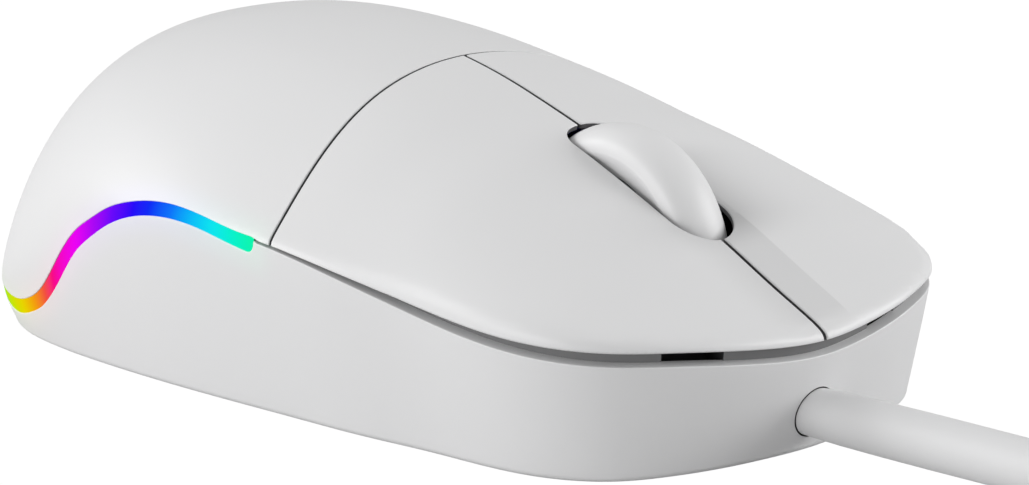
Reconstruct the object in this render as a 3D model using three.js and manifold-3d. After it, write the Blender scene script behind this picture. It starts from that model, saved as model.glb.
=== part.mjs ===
// Corded computer mouse, right- or left-handed, with a wave-shaped light strip round its back.
// Millimetres, +Z up, nose towards -Y, the mouse's right-hand side towards -X, resting on its feet at z = 0.
import * as THREE from "three";
import { mergeVertices } from "three/addons/utils/BufferGeometryUtils.js";
import Module from "manifold-3d";

const wasm = await Module();
wasm.setup();

// ---------- driving dimensions ----------
const FEET = 0.8; // pad thickness, so the base floor is this high
const FLOOR_TOP = 2.2; // inside face of the base floor
const SHELL = 1.5; // wall of the shells
const STRETCH = 1.9; // plan angles are taken after stretching X by this
const ARC_Y = -6.65, ARC_CURVE = 0.0055; // seam between palm shell and buttons: y = ARC_Y - ARC_CURVE x^2
const SEAM_GAP = 0.4; // palm shell to buttons
const SPLIT_GAP = 0.8; // right button to left button
const SLOT = { front: -45.2, rear: -24.0, half: 3.6 }; // wheel slot
const CHANNEL = { half: 6.5, rise: 0.6 }; // finger channel down the middle of the deck
const WHEEL = { y: -31, z: 16.6, r: 12.8, side: 10.4, half: 3.2, bore: 8.4 };
const STRIP_END = 81.5; // plan angle where the light strip ends
const CORD = { z: 4.8, bootR: 2.57, bootTip: 2.4, d: 3.5, bootEnd: -93, tangent: -126 };
const COIL = { x: 28.6, y: -126, mid: 19.25, half: 7, z0: 1.5, z1: 15.5 };
const PCB = { z0: 5.6, z1: 7.2 };
const NPHI = 60; // facets round the body

// ---------- curves of the body ----------
// Cubic spline through (xs, ys) with given end slopes.
function spline(xs, ys, m0 = 0, m1 = 0) {
  const n = xs.length, a = new Array(n).fill(0), b = new Array(n).fill(1), c = new Array(n).fill(0), d = new Array(n).fill(0);
  d[0] = m0; d[n - 1] = m1;
  for (let i = 1; i < n - 1; i++) {
    const h0 = xs[i] - xs[i - 1], h1 = xs[i + 1] - xs[i];
    a[i] = h1; b[i] = 2 * (h0 + h1); c[i] = h0;
    d[i] = 3 * ((h1 * (ys[i] - ys[i - 1])) / h0 + (h0 * (ys[i + 1] - ys[i])) / h1);
  }
  for (let i = 1; i < n; i++) { const w = a[i] / b[i - 1]; b[i] -= w * c[i - 1]; d[i] -= w * d[i - 1]; }
  const m = new Array(n); m[n - 1] = d[n - 1] / b[n - 1];
  for (let i = n - 2; i >= 0; i--) m[i] = (d[i] - c[i] * m[i + 1]) / b[i];
  return (x) => {
    let i = 0; while (i < n - 2 && x > xs[i + 1]) i++;
    const h = xs[i + 1] - xs[i], t = (x - xs[i]) / h, u = 1 - t;
    return ys[i] * (1 + 2 * t) * u * u + m[i] * h * t * u * u + ys[i + 1] * t * t * (3 - 2 * t) - m[i + 1] * h * t * t * u;
  };
}
const TENS = Array.from({ length: 19 }, (_, i) => 10 * i);
const even = (knots, vals) => { const f = spline(knots, vals); return (phi) => { let t = Math.abs(phi) % 360; if (t > 180) t = 360 - t; return f(t); }; };
const radius = even(TENS, [58.49, 59.07, 60.98, 63.78, 66.41, 65.43, 60.83, 58.88, 57.6, 57.29, 57.98, 59.7, 62.89, 65.87, 65.5, 62.81, 60.1, 58.8, 58.51]);
const beltZ = even(TENS, [12.09, 12.39, 13.05, 13.69, 14.1, 14.85, 16.44, 18.33, 19.76, 20.04, 18.63, 15.5, 11.28, 7.52, 5.73, 5.62, 6.39, 7.34, 7.81]);
const powN = even(TENS, [6.68, 7.07, 7.91, 8.72, 9.02, 8.36, 6.87, 5.3, 4.4, 4.65, 5.42, 5.83, 5.61, 5.16, 4.8, 4.5, 4.15, 3.8, 3.64]);
const powM = even(TENS, [2.84, 2.95, 3.17, 3.38, 3.45, 3.24, 2.81, 2.38, 2.2, 2.37, 2.57, 2.37, 1.8, 1.4, 1.35, 1.52, 1.82, 2.1, 2.21]);
const taper = even(TENS, [2.85, 2.97, 3.15, 3.14, 2.79, 2.51, 2.66, 3.01, 3.15, 2.95, 2.48, 1.92, 1.6, 1.6, 1.8, 2.2, 2.63, 2.88, 2.96]);
const taperPow = even(TENS, [1.12, 1.1, 1.06, 1.06, 1.1, 1.15, 1.17, 1.18, 1.23, 1.33, 1.48, 1.66, 1.85, 2.0, 2.09, 2.16, 2.25, 2.35, 2.4]);
const ROWS_Y = Array.from({ length: 21 }, (_, i) => -60 + 6 * i);
const ridge = spline(ROWS_Y, [13.93, 16.25, 18.7, 21.21, 23.73, 26.2, 28.56, 30.7, 32.48, 33.83, 34.81, 35.52, 36.01, 36.31, 36.39, 36.29, 36.03, 35.18, 32.1, 25.0, 12.08], 0.373, -2.739);
const crown = spline(ROWS_Y, [-0.13, 1.45, 3.05, 4.64, 6.17, 7.6, 8.89, 10.0, 10.88, 11.49, 11.8, 11.76, 11.42, 10.81, 9.97, 8.95, 7.78, 6.52, 5.21, 3.87, 2.57], 0.257, -0.213);
const ease = (t) => { const c = Math.min(1, Math.max(0, t)); return c * c * (3 - 2 * c); };
// The deck rises either side of the split ahead of the wheel, and swells a little round the wheel.
const channel = (x, y) => CHANNEL.rise * ease((-18 - y) / 10) * Math.min(1, Math.abs(x) / CHANNEL.half) * (1 - (x / 31) ** 2);
const swell = (y) => 0.3 * ease((-14 - y) / 10) * ease((y + 53) / 9);
const roof = (x, y) => ridge(y) - crown(y) * (x / 30) ** 2 + channel(x, y) + swell(y);
// Light strip: middle height and half height by plan angle; the shells' lower edge and the base's upper edge.
const STRIP_PHI = [78, 81.5, 88.6, 95.2, 103.9, 107.5, 110.7, 113.2, 115.6, 118.5, 121.6, 124.9, 128.5, 133.5, 145, 162, 180];
const stripTop = even([0, ...STRIP_PHI], [20.0, 19.95, 20.1, 20.9, 21.25, 20.2, 19.1, 17.35, 15.8, 13.75, 10.8, 7.9, 6.15, 5.3, 5.35, 5.9, 6.7, 7.1]);
const stripLow = even([0, ...STRIP_PHI], [18.5, 18.55, 18.8, 19.6, 20.0, 18.8, 17.45, 15.6, 13.9, 11.8, 9.1, 6.4, 4.75, 3.8, 3.85, 4.35, 5.15, 5.55]);
const lipGap = even([0, 25, 45, 60, 72, 82, 180], [1.45, 1.38, 1.28, 0.98, 0.62, 0.45, 0.45]);
const upperCut = (phi) => (Math.abs(phi) <= STRIP_END ? beltZ(phi) : stripTop(phi));
const lowerCut = (phi) => (Math.abs(phi) <= STRIP_END ? beltZ(phi) - lipGap(phi) : stripLow(phi));

const rad = (d) => (d * Math.PI) / 180;
// Point of the plan outline at angle phi (0 = nose, positive towards -X), moved inwards by off.
function outline(phi, off = 0) {
  const at = (p) => { const r = radius(p), t = rad(p); return [(-r * Math.sin(t)) / STRETCH, -r * Math.cos(t)]; };
  const [x, y] = at(phi), [x1, y1] = at(phi + 0.05), [x0, y0] = at(phi - 0.05);
  let nx = -(y1 - y0), ny = x1 - x0; const l = Math.hypot(nx, ny); nx /= l; ny /= l;
  if (nx * x + ny * y < 0) { nx = -nx; ny = -ny; }
  return [x - nx * off, y - ny * off];
}
function topPoint(phi, s, off) {
  const [ox, oy] = outline(phi, off), x = ox * s, y = oy * s, zb = beltZ(phi);
  const h = Math.max(1 - s ** powN(phi), 0) ** (1 / powM(phi));
  return [x, y, zb + Math.max(roof(x, y) - off - zb, 0.2) * h];
}
function wallPoint(phi, v, off, zLow) {
  const zb = beltZ(phi), z = zb + (zLow - zb) * v, w = Math.min((zb - z) / (zb - FEET), 1);
  const [x, y] = outline(phi, off + taper(phi) * w ** taperPow(phi));
  return [x, y, z];
}

// ---------- solids ----------
const toSolid = (g) => {
  const c = new THREE.BufferGeometry().setAttribute("position", (g.index ? g.toNonIndexed() : g).getAttribute("position"));
  const m = mergeVertices(c, 1e-4);
  return new wasm.Manifold(new wasm.Mesh({ numProp: 3, vertProperties: m.attributes.position.array, triVerts: new Uint32Array(m.index.array) }));
};
const move = (g, x, y, z) => g.translate(x, y, z);
const box = (x0, x1, y0, y1, z0, z1) => toSolid(move(new THREE.BoxGeometry(x1 - x0, y1 - y0, z1 - z0), (x0 + x1) / 2, (y0 + y1) / 2, (z0 + z1) / 2));
// A turned solid about Z from an [r, z] profile that starts and ends on the axis.
const turned = (profile, seg = 24) => toSolid(new THREE.LatheGeometry(profile.map(([r, z]) => new THREE.Vector2(r, z)), seg).rotateX(Math.PI / 2));
const disc = (x, y, z0, z1, r, seg = 24) => turned([[0, z0], [r, z0], [r, z1], [0, z1]], seg).translate([x, y, 0]);
const alongX = (profile, x, y, z, seg = 40) => turned(profile, seg).rotate([0, 90, 0]).translate([x, y, z]);
const alongY = (profile, x, y, z, seg = 24) => turned(profile, seg).rotate([-90, 0, 0]).translate([x, y, z]);
const plan = (pts, z0, z1) => toSolid(move(new THREE.ExtrudeGeometry(new THREE.Shape(pts.map(([x, y]) => new THREE.Vector2(x, y))), { depth: z1 - z0, bevelEnabled: false }), 0, 0, z0));
function fromRings(rings, bottom, top) {
  // rings: closed loops of equal length, lowest first, each anticlockwise seen from above; bottom and top are cap centres
  const n = rings[0].length, pos = [], v = (p) => pos.push(...p);
  for (let r = 0; r < rings.length - 1; r++)
    for (let i = 0; i < n; i++) {
      const j = (i + 1) % n, a = rings[r][i], b = rings[r][j], c = rings[r + 1][j], d = rings[r + 1][i];
      v(a); v(b); v(c); v(a); v(c); v(d);
    }
  for (let i = 0; i < n; i++) {
    const j = (i + 1) % n;
    v(rings[0][j]); v(rings[0][i]); v(bottom);
    v(rings[rings.length - 1][i]); v(rings[rings.length - 1][j]); v(top);
  }
  return toSolid(new THREE.BufferGeometry().setAttribute("position", new THREE.BufferAttribute(new Float32Array(pos), 3)));
}
const PHIS = (() => { // anticlockwise seen from above, closer together where the strip is steep and where it ends
  const extra = [79.4, 81.3, 81.7, 105, 111, 117, 123, 129];
  return [...Array.from({ length: NPHI }, (_, i) => 180 - (360 * i) / NPHI), ...extra, ...extra.map((p) => -p)].sort((a, b) => b - a);
})();
const RING_S = [0.25, 0.5, 0.68, 0.8, 0.88, 0.94, 0.975, 0.993];
function skin(off, zLow) {
  const rings = [1, 0.66, 0.33].map((v) => PHIS.map((p) => wallPoint(p, v, off, zLow)));
  rings.push(PHIS.map((p) => topPoint(p, 1, off)));
  for (const s of [...RING_S].reverse()) rings.push(PHIS.map((p) => topPoint(p, s, off)));
  return fromRings(rings, [0, 0, zLow], [0, 0, roof(0, 0) - off]);
}
// Everything above (or below) a parting surface whose height depends on the plan angle only.
function parting(zf, above) {
  const ring = (k, f) => PHIS.map((p) => { const [x, y] = outline(p, 0); return [x * k, y * k, f(p)]; });
  const cut = [ring(0.35, zf), ring(0.93, zf), ring(1.02, zf), ring(1.3, zf)];
  if (above) return fromRings([...cut, ring(1.3, () => 70)], [0, 0, 14], [0, 0, 70]);
  return fromRings([ring(1.3, () => -20), ...cut.reverse()], [0, 0, -20], [0, 0, 14]);
}
const arcY = (x) => ARC_Y - ARC_CURVE * x * x;
const arcPts = (dy) => Array.from({ length: 17 }, (_, i) => { const x = -40 + 5 * i; return [x, arcY(x) + dy]; });

const body = skin(0, FEET), hollow = skin(SHELL, FLOOR_TOP), shell = body.subtract(hollow);
const above = parting(upperCut, true), below = parting(lowerCut, false);
const upper = shell.intersect(above);

// Buttons: in front of the arc seam, split down the middle, open for the wheel.
const frontPlan = plan([[-40, -70], [40, -70], ...arcPts(-SEAM_GAP / 2).reverse()], -5, 60);
const rearPlan = plan([...arcPts(SEAM_GAP / 2), [40, 70], [-40, 70]], -5, 60);
const slotPts = [];
for (let i = 0; i <= 12; i++) { const a = Math.PI + (Math.PI * i) / 12; slotPts.push([SLOT.half * Math.cos(a), SLOT.front + SLOT.half + SLOT.half * Math.sin(a)]); }
for (let i = 0; i <= 12; i++) { const a = (Math.PI * i) / 12; slotPts.push([SLOT.half * Math.cos(a), SLOT.rear - SLOT.half + SLOT.half * Math.sin(a)]); }
const slot = plan(slotPts, 5, 60);
const wheelRoom = alongX([[0, -SLOT.half], [WHEEL.r + 0.55, -SLOT.half], [WHEEL.r + 0.55, SLOT.half], [0, SLOT.half]], 0, WHEEL.y, WHEEL.z, 40);
const fronts = upper.intersect(frontPlan).subtract(slot).subtract(wheelRoom);
function button(side) { // side -1 is the mouse's right button
  const half = side < 0 ? box(-60, -SPLIT_GAP / 2, -80, 10, 0, 60) : box(SPLIT_GAP / 2, 60, -80, 10, 0, 60);
  const x = side * 16.5;
  // post that presses the switch, and a rib that joins it to the roof
  const post = box(x - 2.2, x + 2.2, -39.6, -36.4, 15.4, 19.6).add(box(x - 2.2, x + 2.2, -39.6, -36.4, 19.5, roof(x, -38) - 0.7)).add(box(x - 0.6, x + 0.6, -46, -30, 19, 30).intersect(skin(SHELL - 0.3, 4)));
  return fronts.intersect(half).add(post.intersect(body));
}
const rightButton = button(-1), leftButton = button(1);

// Palm shell with two screw bosses inside.
let palm = upper.intersect(rearPlan);
const boss = (x, y, z0, r) => disc(x, y, z0, roof(x, y) - 0.6, r, 16).intersect(body);
const BOSSES = [[-18, 30], [18, 30]];
for (const [x, y] of BOSSES) palm = palm.add(boss(x, y, 12, 3)).subtract(disc(x, y, 6, 24, 1.15, 16));
palm = palm.add(box(-9, 9, 6, 8, 20, 40).intersect(skin(SHELL - 0.3, 4))); // stiffening rib

// Base tub: floor, walls, exit for the cord, sensor window, screw holes, posts for the board.
let base = shell.intersect(below);
const boardPosts = [[-19, -46.5], [19, -46.5], [-19.5, 4], [19.5, 4]];
for (const [x, y] of boardPosts) base = base.add(disc(x, y, 2, PCB.z0 - 0.3, 2.4, 16));
for (const [x, y] of BOSSES) base = base.add(disc(x, y, 2, 11.5, 3.2, 16)).subtract(disc(x, y, -1, 13, 1.35, 16)).subtract(disc(x, y, -1, 3.6, 2.9, 20));
base = base.subtract(alongY([[0, -9], [CORD.bootR + 0.25, -9], [CORD.bootR + 0.25, 9], [0, 9]], 0, -56, CORD.z));
const SENSOR = { x: 0, y: 4 };
base = base.subtract(box(SENSOR.x - 4, SENSOR.x + 4, SENSOR.y - 6.5, SENSOR.y + 6.5, -1, 4));
const MODE = { x: 0, y: 24, half: 3.2 };
base = base.subtract(box(-MODE.half, MODE.half, MODE.y - MODE.half, MODE.y + MODE.half, -1, 4));
// guide rails for the wheel carriage's pivot
for (const s of [-1, 1]) base = base.add(box(s * 10.4 - 1, s * 10.4 + 1, -17.5, -10.5, 2, 12)).subtract(alongX([[0, -3], [1.3, -3], [1.3, 3], [0, 3]], s * 10.4, -14, 9, 20));
// cord strain posts behind the cord entry
for (const s of [-1, 1]) base = base.add(disc(s * 3.9, -50.2, 2, 8, 1.1, 12));

// Light strip: a bent light pipe that fills the band between palm shell and base.
const CLEAR = 0.3;
const stripUp = parting((p) => stripLow(p) + CLEAR, true), stripDown = parting((p) => stripTop(p) - CLEAR, false);
const behind = plan([[-45, -7.6], [45, -7.6], [45, 70], [-45, 70]], -5, 60);
const strip = body.subtract(skin(2.6, 1)).intersect(stripUp).intersect(stripDown).intersect(behind);

// Inner frame: the grey band seen in the gap under the buttons, open at the cord side pockets.
const frameUp = parting((p) => lowerCut(p) - 1.2, true), frameDown = parting((p) => beltZ(p) - 0.55, false);
const band = (a, b) => {
  const pts = (off, lim) => { const o = []; for (let p = -lim; p <= lim; p += 4) o.push(outline(p, off)); return o; };
  return plan([...pts(a, 76).reverse(), ...pts(b, 76)], 2, 40);
};
let frame = band(2.45, 4.2).intersect(frameUp).add(band(3.4, 4.9).intersect(parting((p) => lowerCut(p) - 3.4, true))).intersect(frameDown);
const notchUp = parting((p) => lowerCut(p) - 0.4, true);
for (const s of [-1, 1]) frame = frame.subtract(box(s * 12.4 - 3.9, s * 12.4 + 3.9, -62, -48, 5, 20).intersect(notchUp));
for (const s of [-1, 1]) frame = frame.subtract(box(s * 15 - 3, s * 15 + 3, -45, -30, 2, 40).intersect(box(-60, 60, -42, -34, 2, 40)));
frame = frame.subtract(alongY([[0, -9], [5.4, -9], [5.4, 9], [0, 9]], 0, -52, CORD.z));

// ---------- wheel ----------
const tyreProfile = [];
for (let i = 0; i <= 10; i++) { const u = -1 + i / 5; tyreProfile.push([WHEEL.side + (WHEEL.r - WHEEL.side) * (1 - Math.abs(u) ** 2.2) ** (1 / 2.2), u * WHEEL.half]); }
const tyreSolid = alongX([[0, -WHEEL.half], ...tyreProfile, [0, WHEEL.half]], 0, WHEEL.y, WHEEL.z, 48)
  .subtract(alongX([[0, -5], [WHEEL.bore, -5], [WHEEL.bore, 5], [0, 5]], 0, WHEEL.y, WHEEL.z, 40));
const hubR = WHEEL.bore - 0.3;
const hubSolid = alongX([[0, -2.6], [2.6, -2.6], [2.6, -1.4], [hubR - 1.6, -1.4], [hubR - 1.2, -2.7], [hubR, -2.7], [hubR, 2.7], [hubR - 1.2, 2.7], [hubR - 1.6, 1.4], [2.6, 1.4], [2.6, 2.6], [0, 2.6]], 0, WHEEL.y, WHEEL.z, 40)
  .subtract(alongX([[0, -5], [1.3, -5], [1.3, 5], [0, 5]], 0, WHEEL.y, WHEEL.z, 20));
const axle = alongX([[0, -8.2], [1, -8.2], [1, 7.2], [0, 7.2]], 0, WHEEL.y, WHEEL.z, 20);
// Carriage: two cheeks and a rear bridge, turning on pins at its back.
let carriage = box(-7, -4.6, -36, -12, 7.6, 19).subtract(box(-8, -4, -29, -11, 12.5, 21)).add(box(4.6, 6.4, -36, -12, 7.6, 19).subtract(box(4, 8, -29, -11, 12.5, 21)));
carriage = carriage.add(box(-7, 6.4, -16, -12, 7.6, 10.6)).add(alongX([[0, -11], [1, -11], [1, 11], [0, 11]], 0, -14, 9, 20));
carriage = carriage.subtract(alongX([[0, -12], [1.3, -12], [1.3, 12], [0, 12]], 0, WHEEL.y, WHEEL.z, 20));
carriage = carriage.add(box(-12.4, -6.8, -33.4, -28.6, 14.2, 15.4)); // arm over the middle switch
const encoder = box(7.2, 11.6, -36, -26, 10.5, 19.4).subtract(alongX([[0, -3], [1.4, -3], [1.4, 3], [0, 3]], 7, WHEEL.y, WHEEL.z, 16)).add(box(6.7, 7.25, -35, -33.5, 11, 13));

// ---------- switches ----------
const switchBody = (x, y, z, across) => {
  const w = across ? 12.8 : 5.8, d = across ? 5.8 : 12.8;
  return box(x - w / 2, x + w / 2, y - d / 2, y + d / 2, z, z + 5.4).add(box(x - w / 2 + 0.3, x + w / 2 - 0.3, y - d / 2 + 0.3, y + d / 2 - 0.3, z, z + 6.2));
};
const mainSwitch = (s) => switchBody(s * 16.5, -36.5, PCB.z1 + 0.3, false).subtract(box(s * 16.5 - 1.25, s * 16.5 + 1.25, -39.1, -36.9, PCB.z1 + 3.4, 20));
const plunger = (x, y, z0, z1, w = 1.0, d = 0.8) => box(x - w, x + w, y - d, y + d, z0, z1);

// ---------- board and what is on it ----------
let board = plan([[-20, -50], [20, -50], [22.5, -44], [22.5, 8], [19, 14], [-19, 14], [-22.5, 8], [-22.5, -44]], PCB.z0, PCB.z1).intersect(skin(SHELL + 0.5, 2));
board = board.subtract(box(-7.6, 13.2, -46, -17.8, 4, 9)).subtract(box(-12, 12, -18, -9, 4, 9));
board = board.subtract(box(-4.2, 4.2, SENSOR.y - 6.8, SENSOR.y + 6.8, 4, 6.3));
for (const s of [-1, 1]) board = board.subtract(disc(s * 3.9, -50.2, 4, 9, 1.7, 12));
for (const [x, y] of boardPosts) board = board.subtract(disc(x, y, 4, 9, 1.2, 16));

const screw = (x, y, z, r, l, seg = 10) => turned([[0, z - l], [r * 0.5, z - l], [r * 0.5, z], [r, z], [r, z + 1.1], [0, z + 1.3]], seg).translate([x, y, 0]).subtract(box(x - r, x + r, y - 0.25, y + 0.25, z + 0.8, z + 2));
for (const [x, y] of boardPosts) base = base.subtract(disc(x, y, 3.0, 7, 1.15, 14));
const caseScrew = (x, y) => turned([[0, 1.3], [2.5, 1.3], [2.5, 2.9], [1.05, 3.3], [1.05, 18], [0, 18]], 16).translate([x, y, 0]).subtract(box(x - 2, x + 2, y - 0.25, y + 0.25, 0, 2)).subtract(box(x - 0.25, x + 0.25, y - 2, y + 2, 0, 2));
for (const [x, y] of BOSSES) base = base.subtract(disc(x, y, 3.0, 3.7, 2.75, 16));

// ---------- underside ----------
const pad = (pts) => plan(pts, 0, FEET - 0.05);
const arcPad = (phi0, phi1, o0, o1) => { const a = [], b = []; for (let i = 0; i <= 12; i++) { const p = phi0 + ((phi1 - phi0) * i) / 12; a.push(outline(p, o0)); b.push(outline(p, o1)); } return pad([...b, ...a.reverse()]); };
const frontFoot = arcPad(38, -38, 6.5, 13), rearFoot = arcPad(214, 146, 6, 12.5);
const ringOuter = disc(SENSOR.x, SENSOR.y, 0.15, FEET - 0.05, 11, 32), sensorRing = ringOuter.subtract(disc(SENSOR.x, SENSOR.y, -1, 2, 8.2, 32));
const lens = box(-3.6, 3.6, SENSOR.y - 6.1, SENSOR.y + 6.1, 1.6, 4.2).add(turned([[0, 4.1], [2.4, 4.1], [1.8, 5.2], [0, 5.3]], 16).translate([0, SENSOR.y, 0]));
const sensorChip = box(-3.9, 3.9, SENSOR.y - 6.5, SENSOR.y + 6.5, PCB.z1 + 0.1, PCB.z1 + 2.1).subtract(box(-0.9, 0.9, SENSOR.y - 0.9, SENSOR.y + 0.9, 5, PCB.z1 + 1));
const modeButton = box(-2.8, 2.8, MODE.y - 2.8, MODE.y + 2.8, 1.05, 3.2).add(box(-3.8, 3.8, MODE.y - 3.8, MODE.y + 3.8, 2.5, 3.2));
const modeBoard = box(-8, 8, 18, 33, 7.2, 8.4).subtract(disc(-6, 30.5, 6, 10, 1, 12));
const modeSwitch = box(-3, 3, MODE.y - 3, MODE.y + 3, 4.9, 7.1).subtract(disc(0, MODE.y, 4, 6, 1.75, 16));
const modePin = disc(0, MODE.y, 4.2, 5.6, 1.4, 16);

// ---------- light board ----------
const ledBoard = (() => { const a = [], b = []; for (let i = 0; i <= 14; i++) { const p = 236 - ((236 - 124) * i) / 14; a.push(outline(p, 9)); b.push(outline(p, 14)); } return plan([...b.reverse(), ...a], 3.4, 4.4); })();
const ledAt = (phi) => { const [x, y] = outline(phi, 10.6); return toSolid(new THREE.BoxGeometry(4, 3, 1.6).rotateZ(Math.atan2(y, x) + Math.PI / 2).translate(x, y, 5.5)); };

// ---------- cord ----------
const boot = alongY([[0, -52.5], [4.6, -52.5], [4.6, -54.0], [CORD.bootR - 0.22, -54.0], [CORD.bootR - 0.18, -56.5], [CORD.bootR - 0.04, -61], [CORD.bootR, -66], [CORD.bootR - 0.03, -78], [CORD.bootTip, -90], [CORD.bootTip - 0.2, CORD.bootEnd + 0.4], [CORD.bootTip - 0.65, CORD.bootEnd], [0, CORD.bootEnd]].reverse(), 0, 0, CORD.z, 24).subtract(box(-6, 6, -54.3, -52, -1, 2.5)).subtract(box(-6, 6, -56.8, -52, -1, 1.0));
const tube = (pts, d, steps) => {
  const n = 8, shape = new THREE.Shape(Array.from({ length: n }, (_, i) => { const a = (2 * Math.PI * (i + 0.5)) / n; return new THREE.Vector2((d / 2) * Math.cos(a), (d / 2) * Math.sin(a)); }));
  return toSolid(new THREE.ExtrudeGeometry(shape, { steps, bevelEnabled: false, extrudePath: new THREE.CatmullRomCurve3(pts.map((p) => new THREE.Vector3(...p)), false, "centripetal") }));
};
const cord = tube([[0, -93.3, 4.8], [0, -97, 4.7], [0, -102, 4.0], [0, -108, 2.9], [0, -114, 2.15], [0, -119, 1.9], [0, CORD.tangent, 1.9]], CORD.d, 26).trimByPlane([0, 1, 0], -125.5);
const coil = turned([[COIL.mid - COIL.half + 1.4, COIL.z0], [COIL.mid + COIL.half - 1.4, COIL.z0], [COIL.mid + COIL.half, COIL.z0 + 1.4], [COIL.mid + COIL.half, COIL.z1 - 1.4], [COIL.mid + COIL.half - 1.4, COIL.z1], [COIL.mid - COIL.half + 1.4, COIL.z1], [COIL.mid - COIL.half, COIL.z1 - 1.4], [COIL.mid - COIL.half, COIL.z0 + 1.4], [COIL.mid - COIL.half + 1.4, COIL.z0]], 36).translate([COIL.x, COIL.y, 0]);
const tieX = COIL.x + COIL.mid;
const tie = box(tieX - 8.4, tieX + 8.4, COIL.y - 2.5, COIL.y + 2.5, 0.2, 16.8).subtract(box(tieX - 7.4, tieX + 7.4, COIL.y - 4, COIL.y + 4, 1.1, 15.9));
const PLUG = { x: 21.5, y: -161 };
const tail = tube([[0.9, -131, 11.2], [0.9, -136, 8.8], [1.4, -141.5, 6.2], [2.6, -147, 4.4], [5.4, -152, 3.5], [9.2, -156.9, 3.4], [14, -160, 3.9], [18, -161, 4.3], [PLUG.x - 0.4, PLUG.y, 4.3]], CORD.d, 14);

const MAT = {
  white: [0xe9e9ea, 0.42, 0], gloss: [0xf0f0f1, 0.16, 0], grey: [0x808286, 0.5, 0], dark: [0x2a2b2e, 0.55, 0], black: [0x17181a, 0.5, 0],
  green: [0x1c5a3a, 0.5, 0], steel: [0xb9bcc0, 0.32, 0.9], brass: [0xc9a24a, 0.35, 0.9], strip: [0x8fb8ff, 0.35, 0], led: [0xf4f0d8, 0.3, 0],
  pad: [0x2d2e31, 0.4, 0], clear: [0xcfd4d8, 0.15, 0], cord: [0xdfe0e1, 0.5, 0], red: [0xb3372c, 0.5, 0],
};
const group = new THREE.Group();
function put(name, solid, mat) {
  const m = (solid.numTri() > 500 ? solid.simplify(0.03) : solid).getMesh(), n = m.numProp, v = new Float32Array(m.numVert * 3);
  for (let i = 0; i < m.numVert; i++) v.set(m.vertProperties.subarray(i * n, i * n + 3), i * 3);
  const g = new THREE.BufferGeometry().setAttribute("position", new THREE.BufferAttribute(v, 3)).setIndex(new THREE.BufferAttribute(new Uint32Array(m.triVerts), 1));
  g.computeVertexNormals();
  const [color, roughness, metalness] = MAT[mat];
  const mesh = new THREE.Mesh(g, new THREE.MeshStandardMaterial({ color, roughness, metalness, flatShading: true }));
  mesh.name = name;
  group.add(mesh);
}
put("base_shell", base, "white");
put("palm_shell", palm, "white");
put("right_button", rightButton, "white");
put("left_button", leftButton, "white");
put("inner_frame", frame, "grey");
put("light_strip", strip, "strip");
put("wheel_tyre", tyreSolid, "gloss");
put("wheel_hub", hubSolid, "white");
put("wheel_axle", axle, "steel");
put("wheel_carriage", carriage, "dark");
put("wheel_encoder", encoder, "black");
put("right_switch", mainSwitch(-1), "black");
put("left_switch", mainSwitch(1), "black");
put("right_switch_plunger", plunger(-16.5, -38, PCB.z1 + 4.3, 15.05), "red");
put("left_switch_plunger", plunger(16.5, -38, PCB.z1 + 4.3, 15.05), "red");
put("middle_switch", box(-13.1, -8.2, -34, -28, PCB.z1 + 0.3, 12.0).subtract(box(-11.8, -9.2, -32.1, -29.9, 9.4, 14)), "black");
put("middle_switch_plunger", plunger(-10.5, -31, 10.4, 13.8, 1.0, 0.8), "red");
put("main_board", board, "green");
put("sensor_chip", sensorChip, "black");
put("sensor_lens", lens, "clear");
put("controller_chip", box(13, 20, -12, -5, PCB.z1 + 0.1, PCB.z1 + 1.1), "black");
put("capacitor", disc(-16.5, -9, PCB.z1 + 0.1, PCB.z1 + 5.6, 2.5, 20), "black");
put("cord_header", box(-16.2, -7.9, -48.2, -44.4, PCB.z1 + 0.1, PCB.z1 + 3.4).subtract(box(-15.4, -8.7, -47.4, -45.2, PCB.z1 + 1, 14)), "led");
put("cord_connector", box(-15.1, -9.0, -47.1, -45.5, PCB.z1 + 1.4, PCB.z1 + 4.6), "led");
put("mode_button", modeButton, "dark");
put("mode_board", modeBoard, "green");
put("mode_switch", modeSwitch, "steel");
put("mode_switch_plunger", modePin, "black");
put("light_board", ledBoard, "green");
put("led_right", ledAt(132), "led");
put("led_rear", ledAt(180), "led");
put("led_left", ledAt(-132), "led");
boardPosts.forEach(([x, y], i) => put("board_screw_" + (i + 1), screw(x, y, PCB.z1 + 0.2, 2, 3.2), "steel"));
put("case_screw_right", caseScrew(...BOSSES[0]), "steel");
put("case_screw_left", caseScrew(...BOSSES[1]), "steel");
put("front_foot", frontFoot, "pad");
put("rear_foot", rearFoot, "pad");
put("sensor_ring", sensorRing, "pad");
put("cord_boot", boot, "cord");
put("cord", cord, "cord");
put("cord_coil", coil, "cord");
put("cord_tail", tail, "cord");
put("cord_tie", tie, "dark");
put("usb_plug_body", box(PLUG.x, PLUG.x + 29.8, PLUG.y - 8, PLUG.y + 8, 0.1, 8.5), "cord");
put("usb_plug_shell", box(PLUG.x + 30.1, PLUG.x + 42.3, PLUG.y - 6, PLUG.y + 6, 2.1, 6.6).subtract(box(PLUG.x + 31.8, PLUG.x + 44, PLUG.y - 5.5, PLUG.y + 5.5, 2.6, 6.1)), "steel");
put("usb_tongue", box(PLUG.x + 32.1, PLUG.x + 41.8, PLUG.y - 5.1, PLUG.y + 5.1, 2.9, 4.4), "white");
export default group;
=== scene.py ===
"""A white corded computer mouse with a rainbow light strip, shown on a pale studio floor."""
import math

import bpy
import numpy as np
from mathutils import Matrix, Vector
from mathutils.geometry import delaunay_2d_cdt
from mathutils.kdtree import KDTree


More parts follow.
